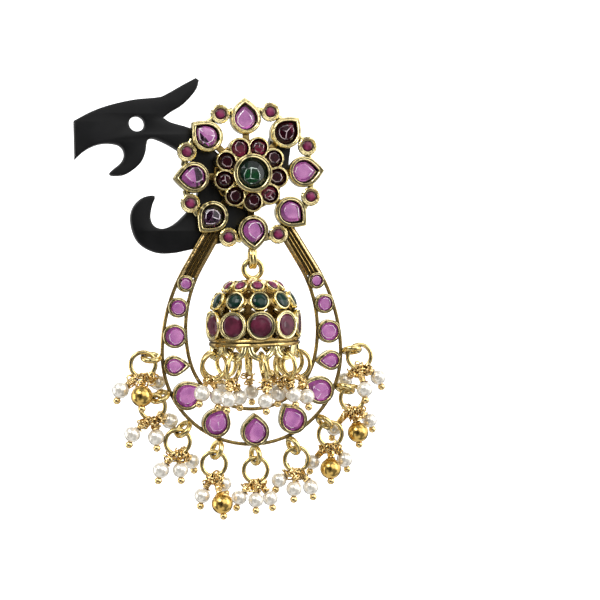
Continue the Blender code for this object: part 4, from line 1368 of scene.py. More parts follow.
    def build(self) -> None:
        """Makes the hoop's pieces."""
        chance = random.Random(11)
        collets, wires, arms, loops = Casting(), Casting(), Casting(), Casting()
        for collet in self.collets():
            collet.cast(collets, chance)
            collet.stone(chance).piece(
                collet.name.replace("stone", "glass"), LILAC_CUT, "root", Slot.LILAC,
                [collet.name], FACET_TURN, self.glint)
        for path in (self.outer_path(), self.inner_path()):
            wires.tube(path, self.wire, 12, -FORWARD, False, 0.7)
        for side in (-1, 1):
            self.ribbed_arm(arms, side)
        for index in range(self.loops):
            angle = 180.0 + index * self.loop_step
            twist = math.radians(self.loop_twist)
            aside = FORWARD * math.cos(twist) + polar(1.0, angle + 90.0) * math.sin(twist)
            loops.ring(self.loop_centre(index), polar(self.loop_radius, angle),
                       aside * self.loop_radius, 1.1 * self.loop_wire, 32, 12, 0.85)
        rise = Vector((0.0, 0.0, self.bail_radius * self.bail_stretch))
        for shift in (-self.bail_half_gap, self.bail_half_gap):
            centre = self.bail_centre() + Vector((shift, 0.0, 0.0))
            loops.ring(centre, rise, FORWARD * self.bail_radius, self.loop_wire, 32, 12, 0.85)
        for name, metal, finish in (
                ("hoop_collets", collets, ANTIQUE), ("hoop_wires", wires, OXIDISED),
                ("hoop_ribbed_arms", arms, RIBBED), ("hoop_cast_loops", loops, JUMP_RING)):
            metal.piece(name, [finish], "root", Slot.GOLD, ["setting"])


@dataclass
class Drop:
    """A jump ring with its beads on wrapped pins."""

    name: str
    body: str
    centre: Vector
    radius: float
    plane: Vector
    normal: Vector
    drops: tuple
    turn: Matrix
    reach: float = 5.4 * MM
    ring_wire: float = 0.82 * MM
    ring_inset: float = 0.06 * MM
    pin_wire: float = 0.34 * MM
    pin_lean: float = 0.6
    pearl: float = 3.0 * MM
    gold: float = 4.0 * MM
    eye: float = 0.74 * MM
    wrap_radius: float = 0.5 * MM
    wrap_pitch: float = 0.31 * MM
    curls: int = 12
    spread: float = 1.1 * MM
    tip: float = 0.71 * MM
    pearl_tip_gap: float = 0.5 * MM
    gold_tip_gap: float = 0.33 * MM
    tip_hang: float = 1.6
    # The eyes' places and the loose turns' fall along the pin are in millimetres.
    eye_leans: tuple[float, float] = (-0.25, 0.3)
    eye_drop: float = 0.2
    eye_shift: float = 0.5
    curl_fall: tuple[float, float] = (-0.2, 1.7)
    curl_bow: tuple[float, float] = (0.5, 0.95)
    curl_steps: tuple[int, int] = (7, 12)
    curl_turn: float = 0.45
    wrap_gap: float = 0.1 * MM
    wrap_least: float = 0.5 * MM
    tail: float = 0.7
    pearl_scatter: tuple[float, float] = (0.95, 1.04)
    pearl_stretch: tuple[float, float] = (0.95, 1.02)

    def pin(self, wire: Casting, start: Vector, along: Vector, tangent: Vector, bead: float,
            bead_centre: Vector, tip_gap: float, chance: random.Random) -> None:
        """Adds a pin: its eye on the ring, the wraps under it, the shank and the ball.

        Args:
            wire: The casting of the wires.
            start: Where the pin meets the ring.
            along: Direction of the pin.
            tangent: Direction of the ring's wire there.
            bead: Radius of the bead.
            bead_centre: Centre of the bead.
            tip_gap: Distance of the ball's middle from the bead.
            chance: Source of the wraps' unevenness.
        """
        normal = (tangent - along * tangent.dot(along)).normalized()
        side = along.cross(normal)
        for lean in self.eye_leans:
            tipped = (side + normal * lean).normalized()
            eye = start + along * self.eye_drop * MM + normal * lean * self.eye_shift * MM
            wire.ring(eye, tipped * self.eye, along * self.eye, self.pin_wire, 18, 7)
        for _ in range(self.curls):
            knot = start + along * chance.uniform(*self.curl_fall) * MM
            knot += side * chance.uniform(-self.spread, self.spread)
            knot += normal * chance.uniform(-self.spread, self.spread) / 2
            first_way = Vector([chance.uniform(-1, 1) for _ in range(3)]).normalized()
            second_way = first_way.cross(along).normalized()
            bow = chance.uniform(*self.curl_bow) * (self.spread + self.eye) / 2
            wire.tube([
                knot + (first_way * math.cos(turn) + second_way * math.sin(turn)) * bow
                for turn in (self.curl_turn * step for step in range(chance.randint(*self.curl_steps)))
            ], self.pin_wire, 6)
        first = self.eye + self.wrap_gap
        length = max(self.wrap_least, (bead_centre - start).length - bead - first)
        count = max(2, round(length / self.wrap_pitch))
        path = []
        for step in range(10 * count + 1):
            share = step / (10 * count)
            turn = 2 * math.pi * count * share
            wide = self.wrap_radius * (1.15 - 0.25 * share + chance.uniform(-0.08, 0.08))
            path.append(start + along * (first + length * share)
                        + (normal * math.cos(turn) + side * math.sin(turn)) * wide)
        way = side * chance.choice((-1, 1)) + normal
        path.append(path[-1] + way * self.tail * self.wrap_radius)
        wire.tube(path, self.pin_wire, 6)
        hang = (along + DOWN * self.tip_hang).normalized()
        end = bead_centre + hang * (bead + tip_gap)
        wire.tube([start + along * first, bead_centre, end], self.pin_wire, 8)
        wire.ball(end, self.tip, along, 1.0, 14)

    def build(self, chance: random.Random) -> None:
        """Makes the ring, the pins, the pearls and the gold beads.

        Args:
            chance: Source of the small differences between beads.
        """
        ring, wire, pearls, golds = Casting(), Casting(), Casting(), Casting()
        bend = self.radius - self.ring_inset
        ring.ring(self.centre, -DOWN * bend, self.plane * bend, self.ring_wire, 44, 12, 0.85)
        for kind, aside, across, drop in self.drops:
            bead_centre = self.centre + (self.plane * aside + self.normal * across
                                         + DOWN * drop) * self.reach
            lean = self.pin_lean * math.atan2(aside, drop)
            radial = self.plane * math.sin(lean) + DOWN * math.cos(lean)
            start = self.centre + radial * self.radius
            along = (bead_centre - start).normalized()
            tangent = radial.cross(self.normal)
            if Bead(kind) is Bead.PEARL:
                size, gap = self.pearl / 2 * chance.uniform(*self.pearl_scatter), self.pearl_tip_gap
                pearls.ball(bead_centre, size, along, chance.uniform(*self.pearl_stretch), 28)
            else:
                size, gap = self.gold / 2, self.gold_tip_gap
                golds.ball(bead_centre, size, along, 0.98, 32)
                golds.turned(bead_centre, -along, [
                    (0.9 * MM, size - 0.5 * MM), (0.95 * MM, size - 0.2 * MM),
                    (0.85 * MM, size - 0.05 * MM), (0.3 * MM, size)], 28)
            self.pin(wire, start, along, tangent, size, bead_centre, gap, chance)
        nodes = [self.name]
        for part, casting, material, slot in (
                ("ring", ring, JUMP_RING, Slot.GOLD), ("pins", wire, WIRE, Slot.GOLD),
                ("pearls", pearls, NACRE, Slot.PEARL), ("gold_bead", golds, BEAD, Slot.GOLD)):
            if casting.points:
                casting.points = [self.turn @ point for point in casting.points]
                name = self.name.replace("cluster", part)
                casting.piece(name, [material], self.body, slot, nodes)


@dataclass
class RimDrops:
    """The nine jump rings of the hoop's rim."""

    hoop: Hoop
    radius: float = 2.35 * MM
    wire: float = 0.7 * MM
    gap: float = 0.3 * MM
    # A drop's beads: kind, and place in the ring's plane, across it and down, in shares of reach.
    rows: tuple = (
        (("pearl", -0.79, 0.00, 0.84), ("gold", -0.12, -0.50, 1.03), ("pearl", 0.54, 0.50, 0.66)),
        (("pearl", -0.72, 0.00, 0.90), ("pearl", 0.08, -0.10, 1.03), ("pearl", 0.61, 0.30, 0.53)),
        (("pearl", -0.60, 0.00, 0.94), ("pearl", 0.06, -0.10, 0.96), ("pearl", 0.51, 0.36, 0.74)),
        (("pearl", -0.44, 0.00, 1.08), ("gold", 0.20, -0.37, 1.33), ("pearl", 0.36, 0.22, 0.74)),
        (("pearl", -0.61, 0.00, 0.93), ("pearl", -0.07, -0.26, 1.01), ("pearl", 0.49, 0.00, 1.01)),
        (("pearl", -0.62, 0.11, 0.71), ("pearl", -0.15, -0.18, 1.00), ("pearl", 0.49, 0.00, 1.00)),
        (("pearl", -0.59, 0.37, 1.00), ("gold", -0.05, -0.15, 1.20), ("pearl", 0.54, 0.15, 0.94)),
        (("pearl", -0.56, 0.50, 1.11), ("gold", 0.17, -0.06, 1.22), ("pearl", 0.69, 0.26, 0.85)),
        (("pearl", -0.43, 0.50, 0.86), ("pearl", 0.05, -0.44, 1.14), ("pearl", 0.69, 0.07, 0.77)),
    )

    def build(self) -> None:
        """Makes the drops of the rim."""
        chance = random.Random(23)
        for index, drops in enumerate(self.rows):
            out = polar(1.0, 180.0 + index * self.hoop.loop_step)
            bar = self.hoop.loop_centre(index) + out * self.hoop.loop_radius
            hang = self.radius - self.wire / 2 - self.hoop.loop_wire / 2 - self.gap
            Drop(f"rim_cluster_{index + 1}", "root", bar + DOWN * hang, self.radius,
                 Vector((1.0, 0.0, 0.0)), Vector((0.0, 1.0, 0.0)), drops,
                 Matrix.Identity(4)).build(chance)


@dataclass
class Bell:
    """The pierced bell with its stones, scallops, ring and drops."""

    hoop: Hoop
    ring_radius: float = 1.7 * MM
    ring_wire: float = 1.0 * MM
    height: float = 12.3 * MM
    radius: float = 8.55 * MM
    wall: float = 0.6 * MM
    stones: int = 10
    first_azimuth: float = -1.5
    rise: float = 0.5 * MM
    gap: float = 0.3 * MM
    scallop_depth: float = 2.3 * MM
    scallop_wire: float = 0.8 * MM
    scallop_span: float = 0.96
    link_radius: float = 2.6 * MM
    link_set_in: float = 0.4 * MM
    link_wire: float = 0.7 * MM
    curl_spread: tuple[float, ...] = (0.9 * MM,) * 8 + (0.3 * MM, 0.7 * MM)
    wrap_radius: tuple[float, ...] = (0.5 * MM,) * 8 + (0.34 * MM, 0.5 * MM)
    segments: int = 80
    # The outside: shares of the radius and of the height.
    sections: tuple = (
        (0.15, 0.00), (0.38, 0.03), (0.66, 0.14), (0.86, 0.34), (0.96, 0.60), (0.97, 0.86),
        (1.00, 0.90), (1.00, 1.00))
    # The rows of bezels: depth, width as a share of the radius, and upward lean in degrees.
    rows: tuple = ((0.105, 0.32, 16.0), (0.32, 0.43, 10.0), (0.68, 0.63, 0.0))
    # The gaps between two columns: depth, half width, height and number of corners.
    gaps: tuple = ((0.21, 0.17, 0.19, 4), (0.49, 0.25, 0.32, 4), (0.81, 0.24, 0.12, 3))
    # A drop's sway and flare in degrees and its beads, as in the rim's drops.
    drops: tuple = (
        (8, 0, (("pearl", -0.03, -0.12, 1.15),)),
        (2, 0, (("pearl", 0.18, 0.17, 1.01), ("pearl", -0.41, 0.04, 0.98))),
        (-8, 4, (("pearl", 0.28, -0.07, 1.16),)),
        (4, 0, (("pearl", 0.10, 0.47, 0.90),)),
        (0, 0, (("pearl", 0.20, 0.26, 0.93),)),
        (0, 0, (("pearl", 0.12, -0.09, 1.12),)),
        (0, 0, (("pearl", 0.20, -0.02, 0.91),)),
        (0, -6, (("pearl", -0.12, -0.11, 0.83),)),
        (-10, 10, (("pearl", 0.52, 0.53, 0.88), ("pearl", -0.09, 0.57, 0.91))),
        (-8, 4, (("pearl", 0.22, 0.08, 1.07), ("pearl", -0.42, 0.16, 1.01))),
    )

    def ring_centre(self) -> Vector:
        """Centre of the ring on top of the bell.

        Returns:
            The centre, with the ring hung in the bail.
        """
        hoop = self.hoop
        bar = hoop.bail_centre().z - hoop.bail_radius * hoop.bail_stretch + hoop.loop_wire / 2
        top = bar + self.gap + self.ring_wire / 2
        return Vector((hoop.bail_side, -hoop.loop_plane, top - self.ring_radius))

    def top(self) -> Vector:
        """Top of the bell's shell."""
        return self.ring_centre() + DOWN * (self.ring_radius + self.ring_wire / 4)

    def directions(self, azimuth: float) -> tuple[Vector, Vector]:
        """Outward and sideways unit directions at an azimuth from the front, in degrees.

        Args:
            azimuth: The azimuth.

        Returns:
            The two directions.
        """
        turn = math.radians(azimuth)
        return (Vector((math.sin(turn), -math.cos(turn), 0.0)),
                Vector((math.cos(turn), math.sin(turn), 0.0)))

    def outside(self, depth: float) -> tuple[float, float]:
        """Radius and slope of the bell's outside at a depth, as a share of its height.

        Args:
            depth: The depth below the bell's top, as a share.

        Returns:
            The radius in metres and the slope in radians.
        """
        for (high, start), (low, end) in zip(self.sections, self.sections[1:]):
            if start <= depth <= end:
                share = (depth - start) / (end - start)
                run = (low - high) * self.radius
                fall = (end - start) * self.height
                return (high + (low - high) * share) * self.radius, math.atan2(run, fall)
        return self.radius, 0.0

    def azimuth(self, index: float) -> float:
        """Azimuth of a column of stones, or of the gap between two at a half, in degrees."""
        return self.first_azimuth + index * 360.0 / self.stones

    def wall_frame(self, azimuth: float, depth: float) -> tuple[Vector, Vector, Vector, Vector]:
        """Point on the bell's outside with its outward, sideways and downward directions.

        Args:
            azimuth: Degrees from the front.
            depth: Depth as a share of the bell's height.

        Returns:
            The point and the three directions.
        """
        radius, slope = self.outside(depth)
        out, side = self.directions(azimuth)
        point = self.top() + out * radius + DOWN * depth * self.height
        normal = out * math.cos(slope) - DOWN * math.sin(slope)
        return point, normal, side, normal.cross(side)

    def smooth_outside(self) -> Profile:
        """Radius and depth of the dome's outside, as a smooth curve down to the band.

        Returns:
            The curve from the top down, in metres.
        """
        depths = [0.0, 0.012, 0.03, 0.055, 0.09, 0.14, 0.2, 0.27, 0.34, 0.42, 0.5, 0.6, 0.7, 0.8, 0.86]
        found = []
        for depth in depths:
            near = [self.outside(max(0.0, min(depths[-1], depth + off)))[0]
                    for off in (-0.04, 0.0, 0.04)]
            found.append((sum(near) / 3, depth * self.height))
        return found

    def shell(self) -> bpy.types.Mesh:
        """The pierced dome with its moulded double band.

        Returns:
            The dome's mesh, with the gaps cut through and its inward faces in the second material, a
            darker gold as painted shade.
        """
        band, height = self.radius, self.height
        outer = self.smooth_outside()
        outer += [
            (0.975 * band, 0.868 * height), (0.998 * band, 0.880 * height),
            (1.008 * band, 0.900 * height), (0.998 * band, 0.921 * height),
            (0.972 * band, 0.930 * height), (0.972 * band, 0.938 * height),
            (0.998 * band, 0.947 * height), (1.008 * band, 0.966 * height),
            (0.998 * band, 0.988 * height), (0.97 * band, height),
        ]
        # The inside follows the dome's outside between its crown and its band.
        inner = [(radius - self.wall, depth + self.wall / 2) for radius, depth in outer[3:14]]
        inner.append((0.86 * band, height - 0.1 * MM))
        top = self.top()
        shell = Casting()
        rings = []
        for radius, depth in outer + inner[::-1]:
            rings.append([top + self.directions(math.degrees(turn))[0] * radius + DOWN * depth
                          for turn in turns(self.segments, math.radians(self.first_azimuth))])
        shell.loft(rings)
        body = put("dome", shell.mesh("dome"))
        cutters = Casting()
        for index in range(self.stones):
            for depth, width, tall, corners in self.gaps:
                point, normal, side, down = self.wall_frame(self.azimuth(index + 0.5), depth)
                away = self.outside(depth)[0]
                rings = []
                for lift in (-1.6 * self.wall, self.wall):
                    ring = []
                    spread = width * self.radius * (1 + lift / away)
                    for turn in turns(8 * corners, -math.pi / 2):
                        bulge = 1.0 / max(abs(math.cos(turn)) + abs(math.sin(turn)), 1e-6)
                        if corners == 3:
                            bulge = 0.72 + 0.28 * math.cos(3 * (turn + math.pi / 2))
                        ring.append(point + normal * lift
                                    + side * math.cos(turn) * spread * bulge
                                    + down * math.sin(turn) * tall * self.height / 2 * bulge)
                    rings.append(ring)
                cutters.loft(rings)
        cutter = put("dome_gaps", cutters.mesh("dome_gaps"))
        cut = body.modifiers.new("Gaps", "BOOLEAN")
        cut.operation = "DIFFERENCE"
        cut.object = cutter
        cut.solver = "EXACT"
        graph = bpy.context.evaluated_depsgraph_get()
        mesh = bpy.data.meshes.new_from_object(body.evaluated_get(graph))
        for item in (body, cutter):
            bpy.data.objects.remove(item, do_unlink=True)
        # Inward faces take the darker second gold: painted shade inside the bell.
        for face in mesh.polygons:
            outward = (face.center - top) * Vector((1.0, 1.0, 0.0))
            face.material_index = 1 if face.normal.dot(outward) < 0 else 0
        return mesh

    def bezel(self, reach: float, framed: bool) -> tuple[Profile, Profile]:
        """Profiles of a bezel and of its stone.

        Args:
            reach: Half the bezel's width.
            framed: Whether it has a second ring inside and a stepped stone.

        Returns:
            The bezel's profile and the stone's.
        """
        rim = self.rise
        inner = reach - 0.30 * MM - 0.05 * reach
        profile = [
            (0.6 * reach, -0.9 * self.wall), (0.95 * reach, -0.9 * self.wall), (reach, 0.1 * MM),
            (reach - 0.02 * MM, rim - 0.16 * MM), (reach - 0.12 * MM, rim - 0.03 * MM),
            (reach - 0.24 * MM, rim), (inner + 0.05 * MM, rim - 0.05 * MM),
            (inner, rim - 0.14 * MM), (inner, rim - 0.3 * MM),
        ]
        if not framed:
            stone = inner - 0.02 * MM
            lifts = [math.pi / 2 * part / 5.6 for part in range(6)]
            return profile, [(stone, rim - 0.3 * MM)] + [
                (stone * math.cos(lift), rim - 0.22 * MM + 0.5 * MM * math.sin(lift))
                for lift in lifts]
        inner -= 0.22 * MM
        profile += [
            (inner + 0.17 * MM, rim - 0.3 * MM), (inner + 0.14 * MM, rim - 0.12 * MM),
            (inner + 0.04 * MM, rim - 0.1 * MM), (inner, rim - 0.18 * MM),
            (inner, rim - 0.34 * MM)]
        stone = inner - 0.02 * MM
        return profile, [(stone, rim - 0.3 * MM)] + [
            (share * stone, rim + lift * MM) for share, lift in (
                (1.0, -0.22), (0.8, 0.02), (0.74, 0.05), (0.68, 0.03), (0.45, 0.08), (0.2, 0.12))]

    def bezels(self, metal: Casting, glasses: list[Casting]) -> None:
        """Adds the round bezels of the dome with their domed stones.

        Args:
            metal: The casting of the bezels.
            glasses: The castings of the stones, one for each row.
        """
        for (depth, width, lean), glass in zip(self.rows, glasses):
            bezel, dome = self.bezel(width * self.radius / 2, depth == self.rows[-1][0])
            for index in range(self.stones):
                point, normal, side, _ = self.wall_frame(self.azimuth(index), depth)
                normal = Matrix.Rotation(math.radians(lean), 3, side) @ normal
                metal.turned(point, normal, bezel, 32)
                glass.turned(point, normal, dome, 24)

    def scallops(self, metal: Casting) -> None:
        """Adds the double wires that hang from the band as open eyes.

        Args:
            metal: The casting of the wires.
        """
        top = self.top()
        reach = self.radius - self.scallop_wire / 2
        floor = self.height - self.scallop_wire / 4
        half_turn = 180.0 / self.stones
        thin = 0.76 * self.scallop_wire
        for index in range(self.stones):
            for share, shrink in ((1.0, 0.0), (0.78, 0.5 * MM)):
                path = []
                for step in range(21):
                    along = 2.0 * step / 20 - 1.0
                    bow = math.sqrt(max(0.0, 1.0 - along ** 2))
                    aside = along * half_turn * self.scallop_span * share
                    out, _ = self.directions(self.azimuth(index) + aside)
                    drop = floor + (self.scallop_depth - shrink + 0.2 * MM) * bow
                    path.append(top + out * reach + DOWN * drop)
                metal.tube(path, thin, 8)

    def build(self) -> None:
        """Makes the bell's pieces."""
        metal, scallops, ring = Casting(), Casting(), Casting()
        glasses = [Casting() for _ in self.rows]
        # The dome's inward faces wear the darker gold as painted shade.
        dress("bell_dome", self.shell(), [OXIDISED, SHADED_INSIDE_GOLD], "bell", ["bell"])
        self.bezels(metal, glasses)
        metal.piece("bell_bezels", [ANTIQUE], "bell", Slot.GOLD, ["bell"])
        for glass, name, material, slot in zip(
                glasses, ("bell_ruby_glass", "bell_green_glass", "bell_garnet_glass"),
                (RUBY_DOME, GREEN_DOME, GARNET_DOME), (Slot.GARNET, Slot.GREEN, Slot.GARNET)):
            glass.piece(name, [material], "bell", slot, ["bell"])
        self.scallops(scallops)
        scallops.piece("bell_scallops", [ANTIQUE], "bell", Slot.GOLD, ["bell"])
        up = Vector((0.0, 0.0, self.ring_radius))
        ring.ring(self.ring_centre(), up, Vector((self.ring_radius, 0.0, 0.0)), self.ring_wire, 40,
                  14, 0.85)
        ring.turned(self.top(), -DOWN, [
            (2.5 * MM, -0.75 * MM), (1.6 * MM, -0.3 * MM), (1.35 * MM, -0.1 * MM),
            (1.2 * MM, 0.2 * MM), (0.9 * MM, 0.35 * MM), (0.4 * MM, 0.4 * MM)], 28)
        ring.piece("bell_top_ring", [JUMP_RING], "bell", Slot.GOLD, ["bell"])
        self.hang_drops()

    def hang_drops(self) -> None:
        """Makes the ten jump rings in the scallops."""
        chance = random.Random(31)
        floor = self.height - self.scallop_wire / 4 + self.scallop_depth
        for index, (sway, flare, drops) in enumerate(self.drops):
            out, side = self.directions(self.azimuth(index))
            crown = self.top() + out * (self.radius - self.scallop_wire / 2) + DOWN * floor
            crown -= DOWN * (self.scallop_wire / 2 + self.gap + self.link_wire / 2)
            hang = math.sqrt(self.link_radius ** 2 - self.link_set_in ** 2)
            centre = crown - out * self.link_set_in + DOWN * hang
            swing = Matrix.Rotation(math.radians(sway), 4, out)
            open_out = Matrix.Rotation(-math.radians(flare), 4, side)
            turn = Matrix.Translation(crown) @ swing @ open_out @ Matrix.Translation(-crown)
            Drop(f"bell_cluster_{index + 1}", "bell", centre, self.link_radius, out, side, drops,
                 turn, spread=self.curl_spread[index],
                 wrap_radius=self.wrap_radius[index]).build(chance)


@dataclass
class DisplayArm:
    """The black arm of the display stand."""

    front: float = 0.3 * MM
    thickness: float = 3.0 * MM
    width: float = 40.6 * MM
    height: float = 32.7 * MM
    shift: float = 1.2 * MM
    hole: float = 2.9 * MM
    hole_along: float = -0.535
    hole_up: float = 0.297
    post_hole: float = 1.6 * MM
    edge: float = 0.35 * MM
    curve_steps: int = 6
    # The outline from the post, in shares of the width and the height, and its sharp corners.
    corners: tuple[int, ...] = (0, 62, 66, 67, 74)
    rows: tuple = (
        (-0.818, 0.096), (-0.784, 0.135), (-0.749, 0.163), (-0.705, 0.183), (-0.660, 0.187),
        (-0.620, 0.177), (-0.600, 0.153), (-0.595, 0.115), (-0.612, 0.076), (-0.648, 0.039),
        (-0.663, 0.019), (-0.650, 0.005), (-0.600, 0.008), (-0.555, 0.037), (-0.520, 0.078),
        (-0.500, 0.130), (-0.493, 0.180), (-0.483, 0.209), (-0.455, 0.213), (-0.400, 0.184),
        (-0.340, 0.138), (-0.285, 0.080), (-0.265, 0.000), (-0.262, -0.090), (-0.285, -0.160),
        (-0.330, -0.226), (-0.380, -0.278), (-0.430, -0.299), (-0.468, -0.282), (-0.483, -0.235),
        (-0.475, -0.170), (-0.461, -0.126), (-0.471, -0.110), (-0.520, -0.124), (-0.560, -0.175),
        (-0.573, -0.250), (-0.555, -0.345), (-0.515, -0.403), (-0.450, -0.438), (-0.380, -0.440),
        (-0.309, -0.424), (-0.200, -0.398), (-0.110, -0.375), (-0.060, -0.325), (-0.038, -0.255),
        (-0.001, -0.184), (0.053, -0.120), (0.125, -0.056), (0.162, 0.016), (0.170, 0.088),
        (0.178, 0.150), (0.185, 0.230), (0.150, 0.300), (0.105, 0.290), (0.085, 0.220),
        (0.060, 0.140), (-0.050, 0.105), (-0.150, 0.115), (-0.200, 0.180), (-0.245, 0.245),
        (-0.306, 0.278), (-0.379, 0.304), (-0.413, 0.330), (-0.378, 0.364), (-0.316, 0.412),
        (-0.261, 0.487), (-0.245, 0.545), (-0.260, 0.557), (-0.318, 0.519), (-0.403, 0.460),
        (-0.443, 0.445), (-0.545, 0.432), (-0.653, 0.402), (-0.738, 0.364), (-0.818, 0.312),
    )

    def outline(self) -> Ring:
        """The arm's outline in its own plane, curved through all rows but its sharp corners.

        Returns:
            The closed outline, without its first point again at the end.
        """
        points = [Vector((self.shift + along * self.width, up * self.height, 0.0))
                  for along, up in self.rows]
        found = []
        for index, start in enumerate(points):
            after = (index + 1) % len(points)
            end = points[after]
            before = start if index in self.corners else points[index - 1]
            beyond = end if after in self.corners else points[(after + 1) % len(points)]
            steps = 1 if index in self.corners and after in self.corners else self.curve_steps
            for step in range(steps):
                share = step / steps
                square, cube = share ** 2, share ** 3
                found.append(
                    start * (2 * cube - 3 * square + 1)
                    + (end - before) / 2 * (cube - 2 * square + share)
                    + end * (3 * square - 2 * cube)
                    + (beyond - start) / 2 * (cube - square))
        return found

    def build(self) -> None:
        """Makes the arm as a bevelled plate with its holes."""
        curve = bpy.data.curves.new("display_plate", "CURVE")
        curve.dimensions = "2D"
        curve.fill_mode = "BOTH"
        curve.extrude = self.thickness / 2 - self.edge
        curve.bevel_depth = self.edge
        curve.bevel_resolution = 3
        curve.offset = -self.edge
        middle = Vector((self.shift + self.hole_along * self.width, self.hole_up * self.height, 0.0))
        loops = [self.outline()]
        for centre, size in ((middle, self.hole), (Vector(), self.post_hole)):
            loops.append([centre + Vector((math.cos(turn), math.sin(turn), 0.0)) * size / 2
                          for turn in turns(36)])
        for loop in loops:
            spline = curve.splines.new("POLY")
            spline.points.add(len(loop) - 1)
            for point, place in zip(spline.points, loop):
                point.co = (*place, 1.0)
            spline.use_cyclic_u = True
        helper = put("display_plate", curve)
        graph = bpy.context.evaluated_depsgraph_get()
        mesh = bpy.data.meshes.new_from_object(helper.evaluated_get(graph))
        bpy.data.objects.remove(helper, do_unlink=True)
        stand_up = Matrix.Rotation(math.pi / 2, 4, "X")
        mesh.transform(Matrix.Translation((0.0, self.front + self.thickness / 2, 0.0)) @ stand_up)
        shape = bmesh.new()
        shape.from_mesh(mesh)
        bmesh.ops.remove_doubles(shape, verts=shape.verts, dist=0.001 * MM)
        bmesh.ops.recalc_face_normals(shape, faces=shape.faces)
        shape.to_mesh(mesh)
        shape.free()
        dress("display_arm_plate", mesh, [ABS], "root", ["display_arm"], 30.0)


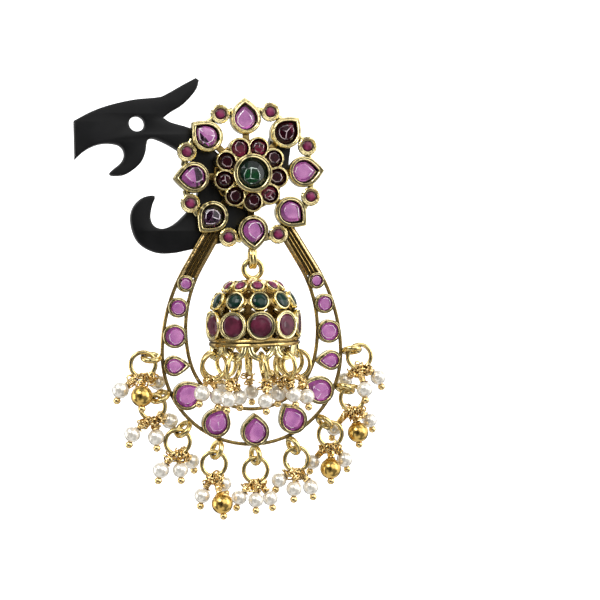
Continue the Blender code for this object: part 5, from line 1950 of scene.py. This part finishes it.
@dataclass
class Studio:
    """The pale paper bowl, the soft lights and the camera."""

    floor_z: float = -0.32
    floor_radius: float = 0.75
    corner: float = 0.30
    wall_top: float = 2.6
    azimuth: float = -12.54
    elevation: float = 1.56
    roll: float = -1.26
    eye: tuple[float, float, float] = (-0.0444, -0.2423, -0.0170)
    focal_pixels: float = 1306.5
    image_pixels: float = 600.0
    sensor: float = 36.0
    opening: tuple[float, float, float] = (-0.45, -0.885, 0.12)
    rear: tuple[float, float, float] = (0.12, 0.99, 0.05)
    # From the floor up, between panels, into the opening and to the rear: where the brightness
    # starts and ends to change, and its values there.
    room: tuple = (
        (-0.7, 0.9, 0.95, 2.2), (0.44, 0.51, 0.2, 1.0), (0.82, 0.94, 1.0, 0.07),
        (0.75, 0.97, 1.0, 0.38))
    aim_z: float = -0.025
    # Each lamp's name, place, width and height, and power in watts.
    lamps: tuple = (
        ("key", (-0.28, -0.30, 0.34), (0.26, 0.20), 1.0),
        ("fill", (0.42, -0.22, 0.10), (0.20, 0.34), 0.6),
        ("side", (-0.45, 0.02, -0.05), (0.20, 0.30), 0.40),
        ("back", (0.10, 0.45, 0.30), (0.40, 0.20), 0.50),
    )

    def paper(self) -> None:
        """Makes the floor that rises all round into a wall."""
        profile = [(0.3, 0.0), (self.floor_radius, 0.0)]
        for step in range(1, 13):
            turn = math.pi / 2 * step / 12
            profile.append((self.floor_radius + self.corner * math.sin(turn),
                            self.corner * (1 - math.cos(turn))))
        profile.append((self.floor_radius + self.corner, self.wall_top))
        bowl = Casting()
        count = 96
        for radius, height in profile:
            bowl.points.extend(
                Vector((radius * math.cos(turn), radius * math.sin(turn), self.floor_z + height))
                for turn in turns(count))
        for row in range(len(profile) - 1):
            for index in range(count):
                after = (index + 1) % count
                bowl.faces.append((row * count + after, row * count + index,
                                   (row + 1) * count + index, (row + 1) * count + after))
        bowl.faces.append(tuple(range(count)))
        mesh = bpy.data.meshes.new("paper_bowl")
        mesh.from_pydata(bowl.points, [], bowl.faces)
        mesh.shade_smooth()
        mesh.materials.append(PAPER)
        item = put("paper_bowl", mesh)
        item.visible_glossy = False
        item.visible_diffuse = False
        item.visible_shadow = False

    def light(self, name: str, place: tuple, size: tuple, power: float) -> None:
        """Adds a soft light that looks at the earring.

        Args:
            name: The light's name.
            place: Where it stands.
            size: Its width and height.
            power: Its power in watts.
        """
        lamp = bpy.data.lights.new(name, "AREA")
        lamp.shape = "RECTANGLE"
        lamp.size, lamp.size_y = size
        lamp.energy = power
        item = put(name, lamp)
        item.location = place
        away = Vector(place) - Vector((0.0, 0.0, self.aim_z))
        item.rotation_mode = "QUATERNION"
        item.rotation_quaternion = away.to_track_quat("Z", "Y")
        item.visible_camera = False

    def surroundings(self) -> None:
        """Makes the grey room that the metal mirrors, darker in front and behind."""
        world = bpy.data.worlds.new("studio")
        world.use_nodes = True
        bpy.context.scene.world = world
        tree = world.node_tree
        place = add_node(tree, "TexCoord", {}, "Generated")
        height = add_node(tree, "SeparateXYZ", {0: place}, 2)
        spots = add_node(tree, "TexNoise", {"Vector": place, "Scale": 1.5, "Detail": 0.0})
        ahead, behind = (
            add_node(tree, "VectorMath", {0: place, 1: way}, "Value", operation="DOT_PRODUCT")
            for way in (self.opening, self.rear))
        glow, panels, front, rear = (
            add_node(tree, "MapRange", {0: value, 1: low, 2: high, 3: start, 4: end})
            for value, (low, high, start, end) in zip((height, spots, ahead, behind), self.room))
        lit = add_node(tree, "Math", {0: glow, 1: panels}, operation="MULTIPLY")
        shade = add_node(tree, "Math", {0: front, 1: rear}, operation="MULTIPLY")
        set_inputs(tree, tree.nodes["Background"], {
            "Color": linear("#ffffff"),
            "Strength": add_node(tree, "Math", {0: lit, 1: shade}, operation="MULTIPLY"),
        })

    def camera(self) -> None:
        """Sets the camera at the photograph's angle."""
        azimuth, elevation = math.radians(self.azimuth), math.radians(self.elevation)
        forward = Vector((-math.sin(azimuth) * math.cos(elevation),
                          math.cos(azimuth) * math.cos(elevation), -math.sin(elevation)))
        right = Vector((math.cos(azimuth), math.sin(azimuth), 0.0))
        up = right.cross(forward)
        roll = math.radians(self.roll)
        level = right * math.cos(roll) + up * math.sin(roll)
        upright = up * math.cos(roll) - right * math.sin(roll)
        eye = put("camera", bpy.data.cameras.new("camera"))
        turn = Matrix((level, upright, -forward)).transposed().to_4x4()
        eye.matrix_world = Matrix.Translation(self.eye) @ turn
        eye.data.sensor_width = self.sensor
        eye.data.lens = self.focal_pixels * self.sensor / self.image_pixels
        eye.data.clip_start = 0.01
        eye.data.clip_end = 20.0
        bpy.context.scene.camera = eye

    def build(self) -> None:
        """Makes the studio."""
        self.paper()
        self.surroundings()
        for lamp in self.lamps:
            self.light(*lamp)
        self.camera()
        bpy.context.scene.view_settings.view_transform = "Standard"


def main() -> None:
    logging.basicConfig(level=logging.INFO, format="%(message)s")
    Studio().build()
    Flower().build()
    EarPost().build()
    hoop = Hoop()
    hoop.build()
    RimDrops(hoop).build()
    Bell(hoop).build()
    DisplayArm().build()
    bpy.context.view_layer.update()


if __name__ == "__main__":
    main()
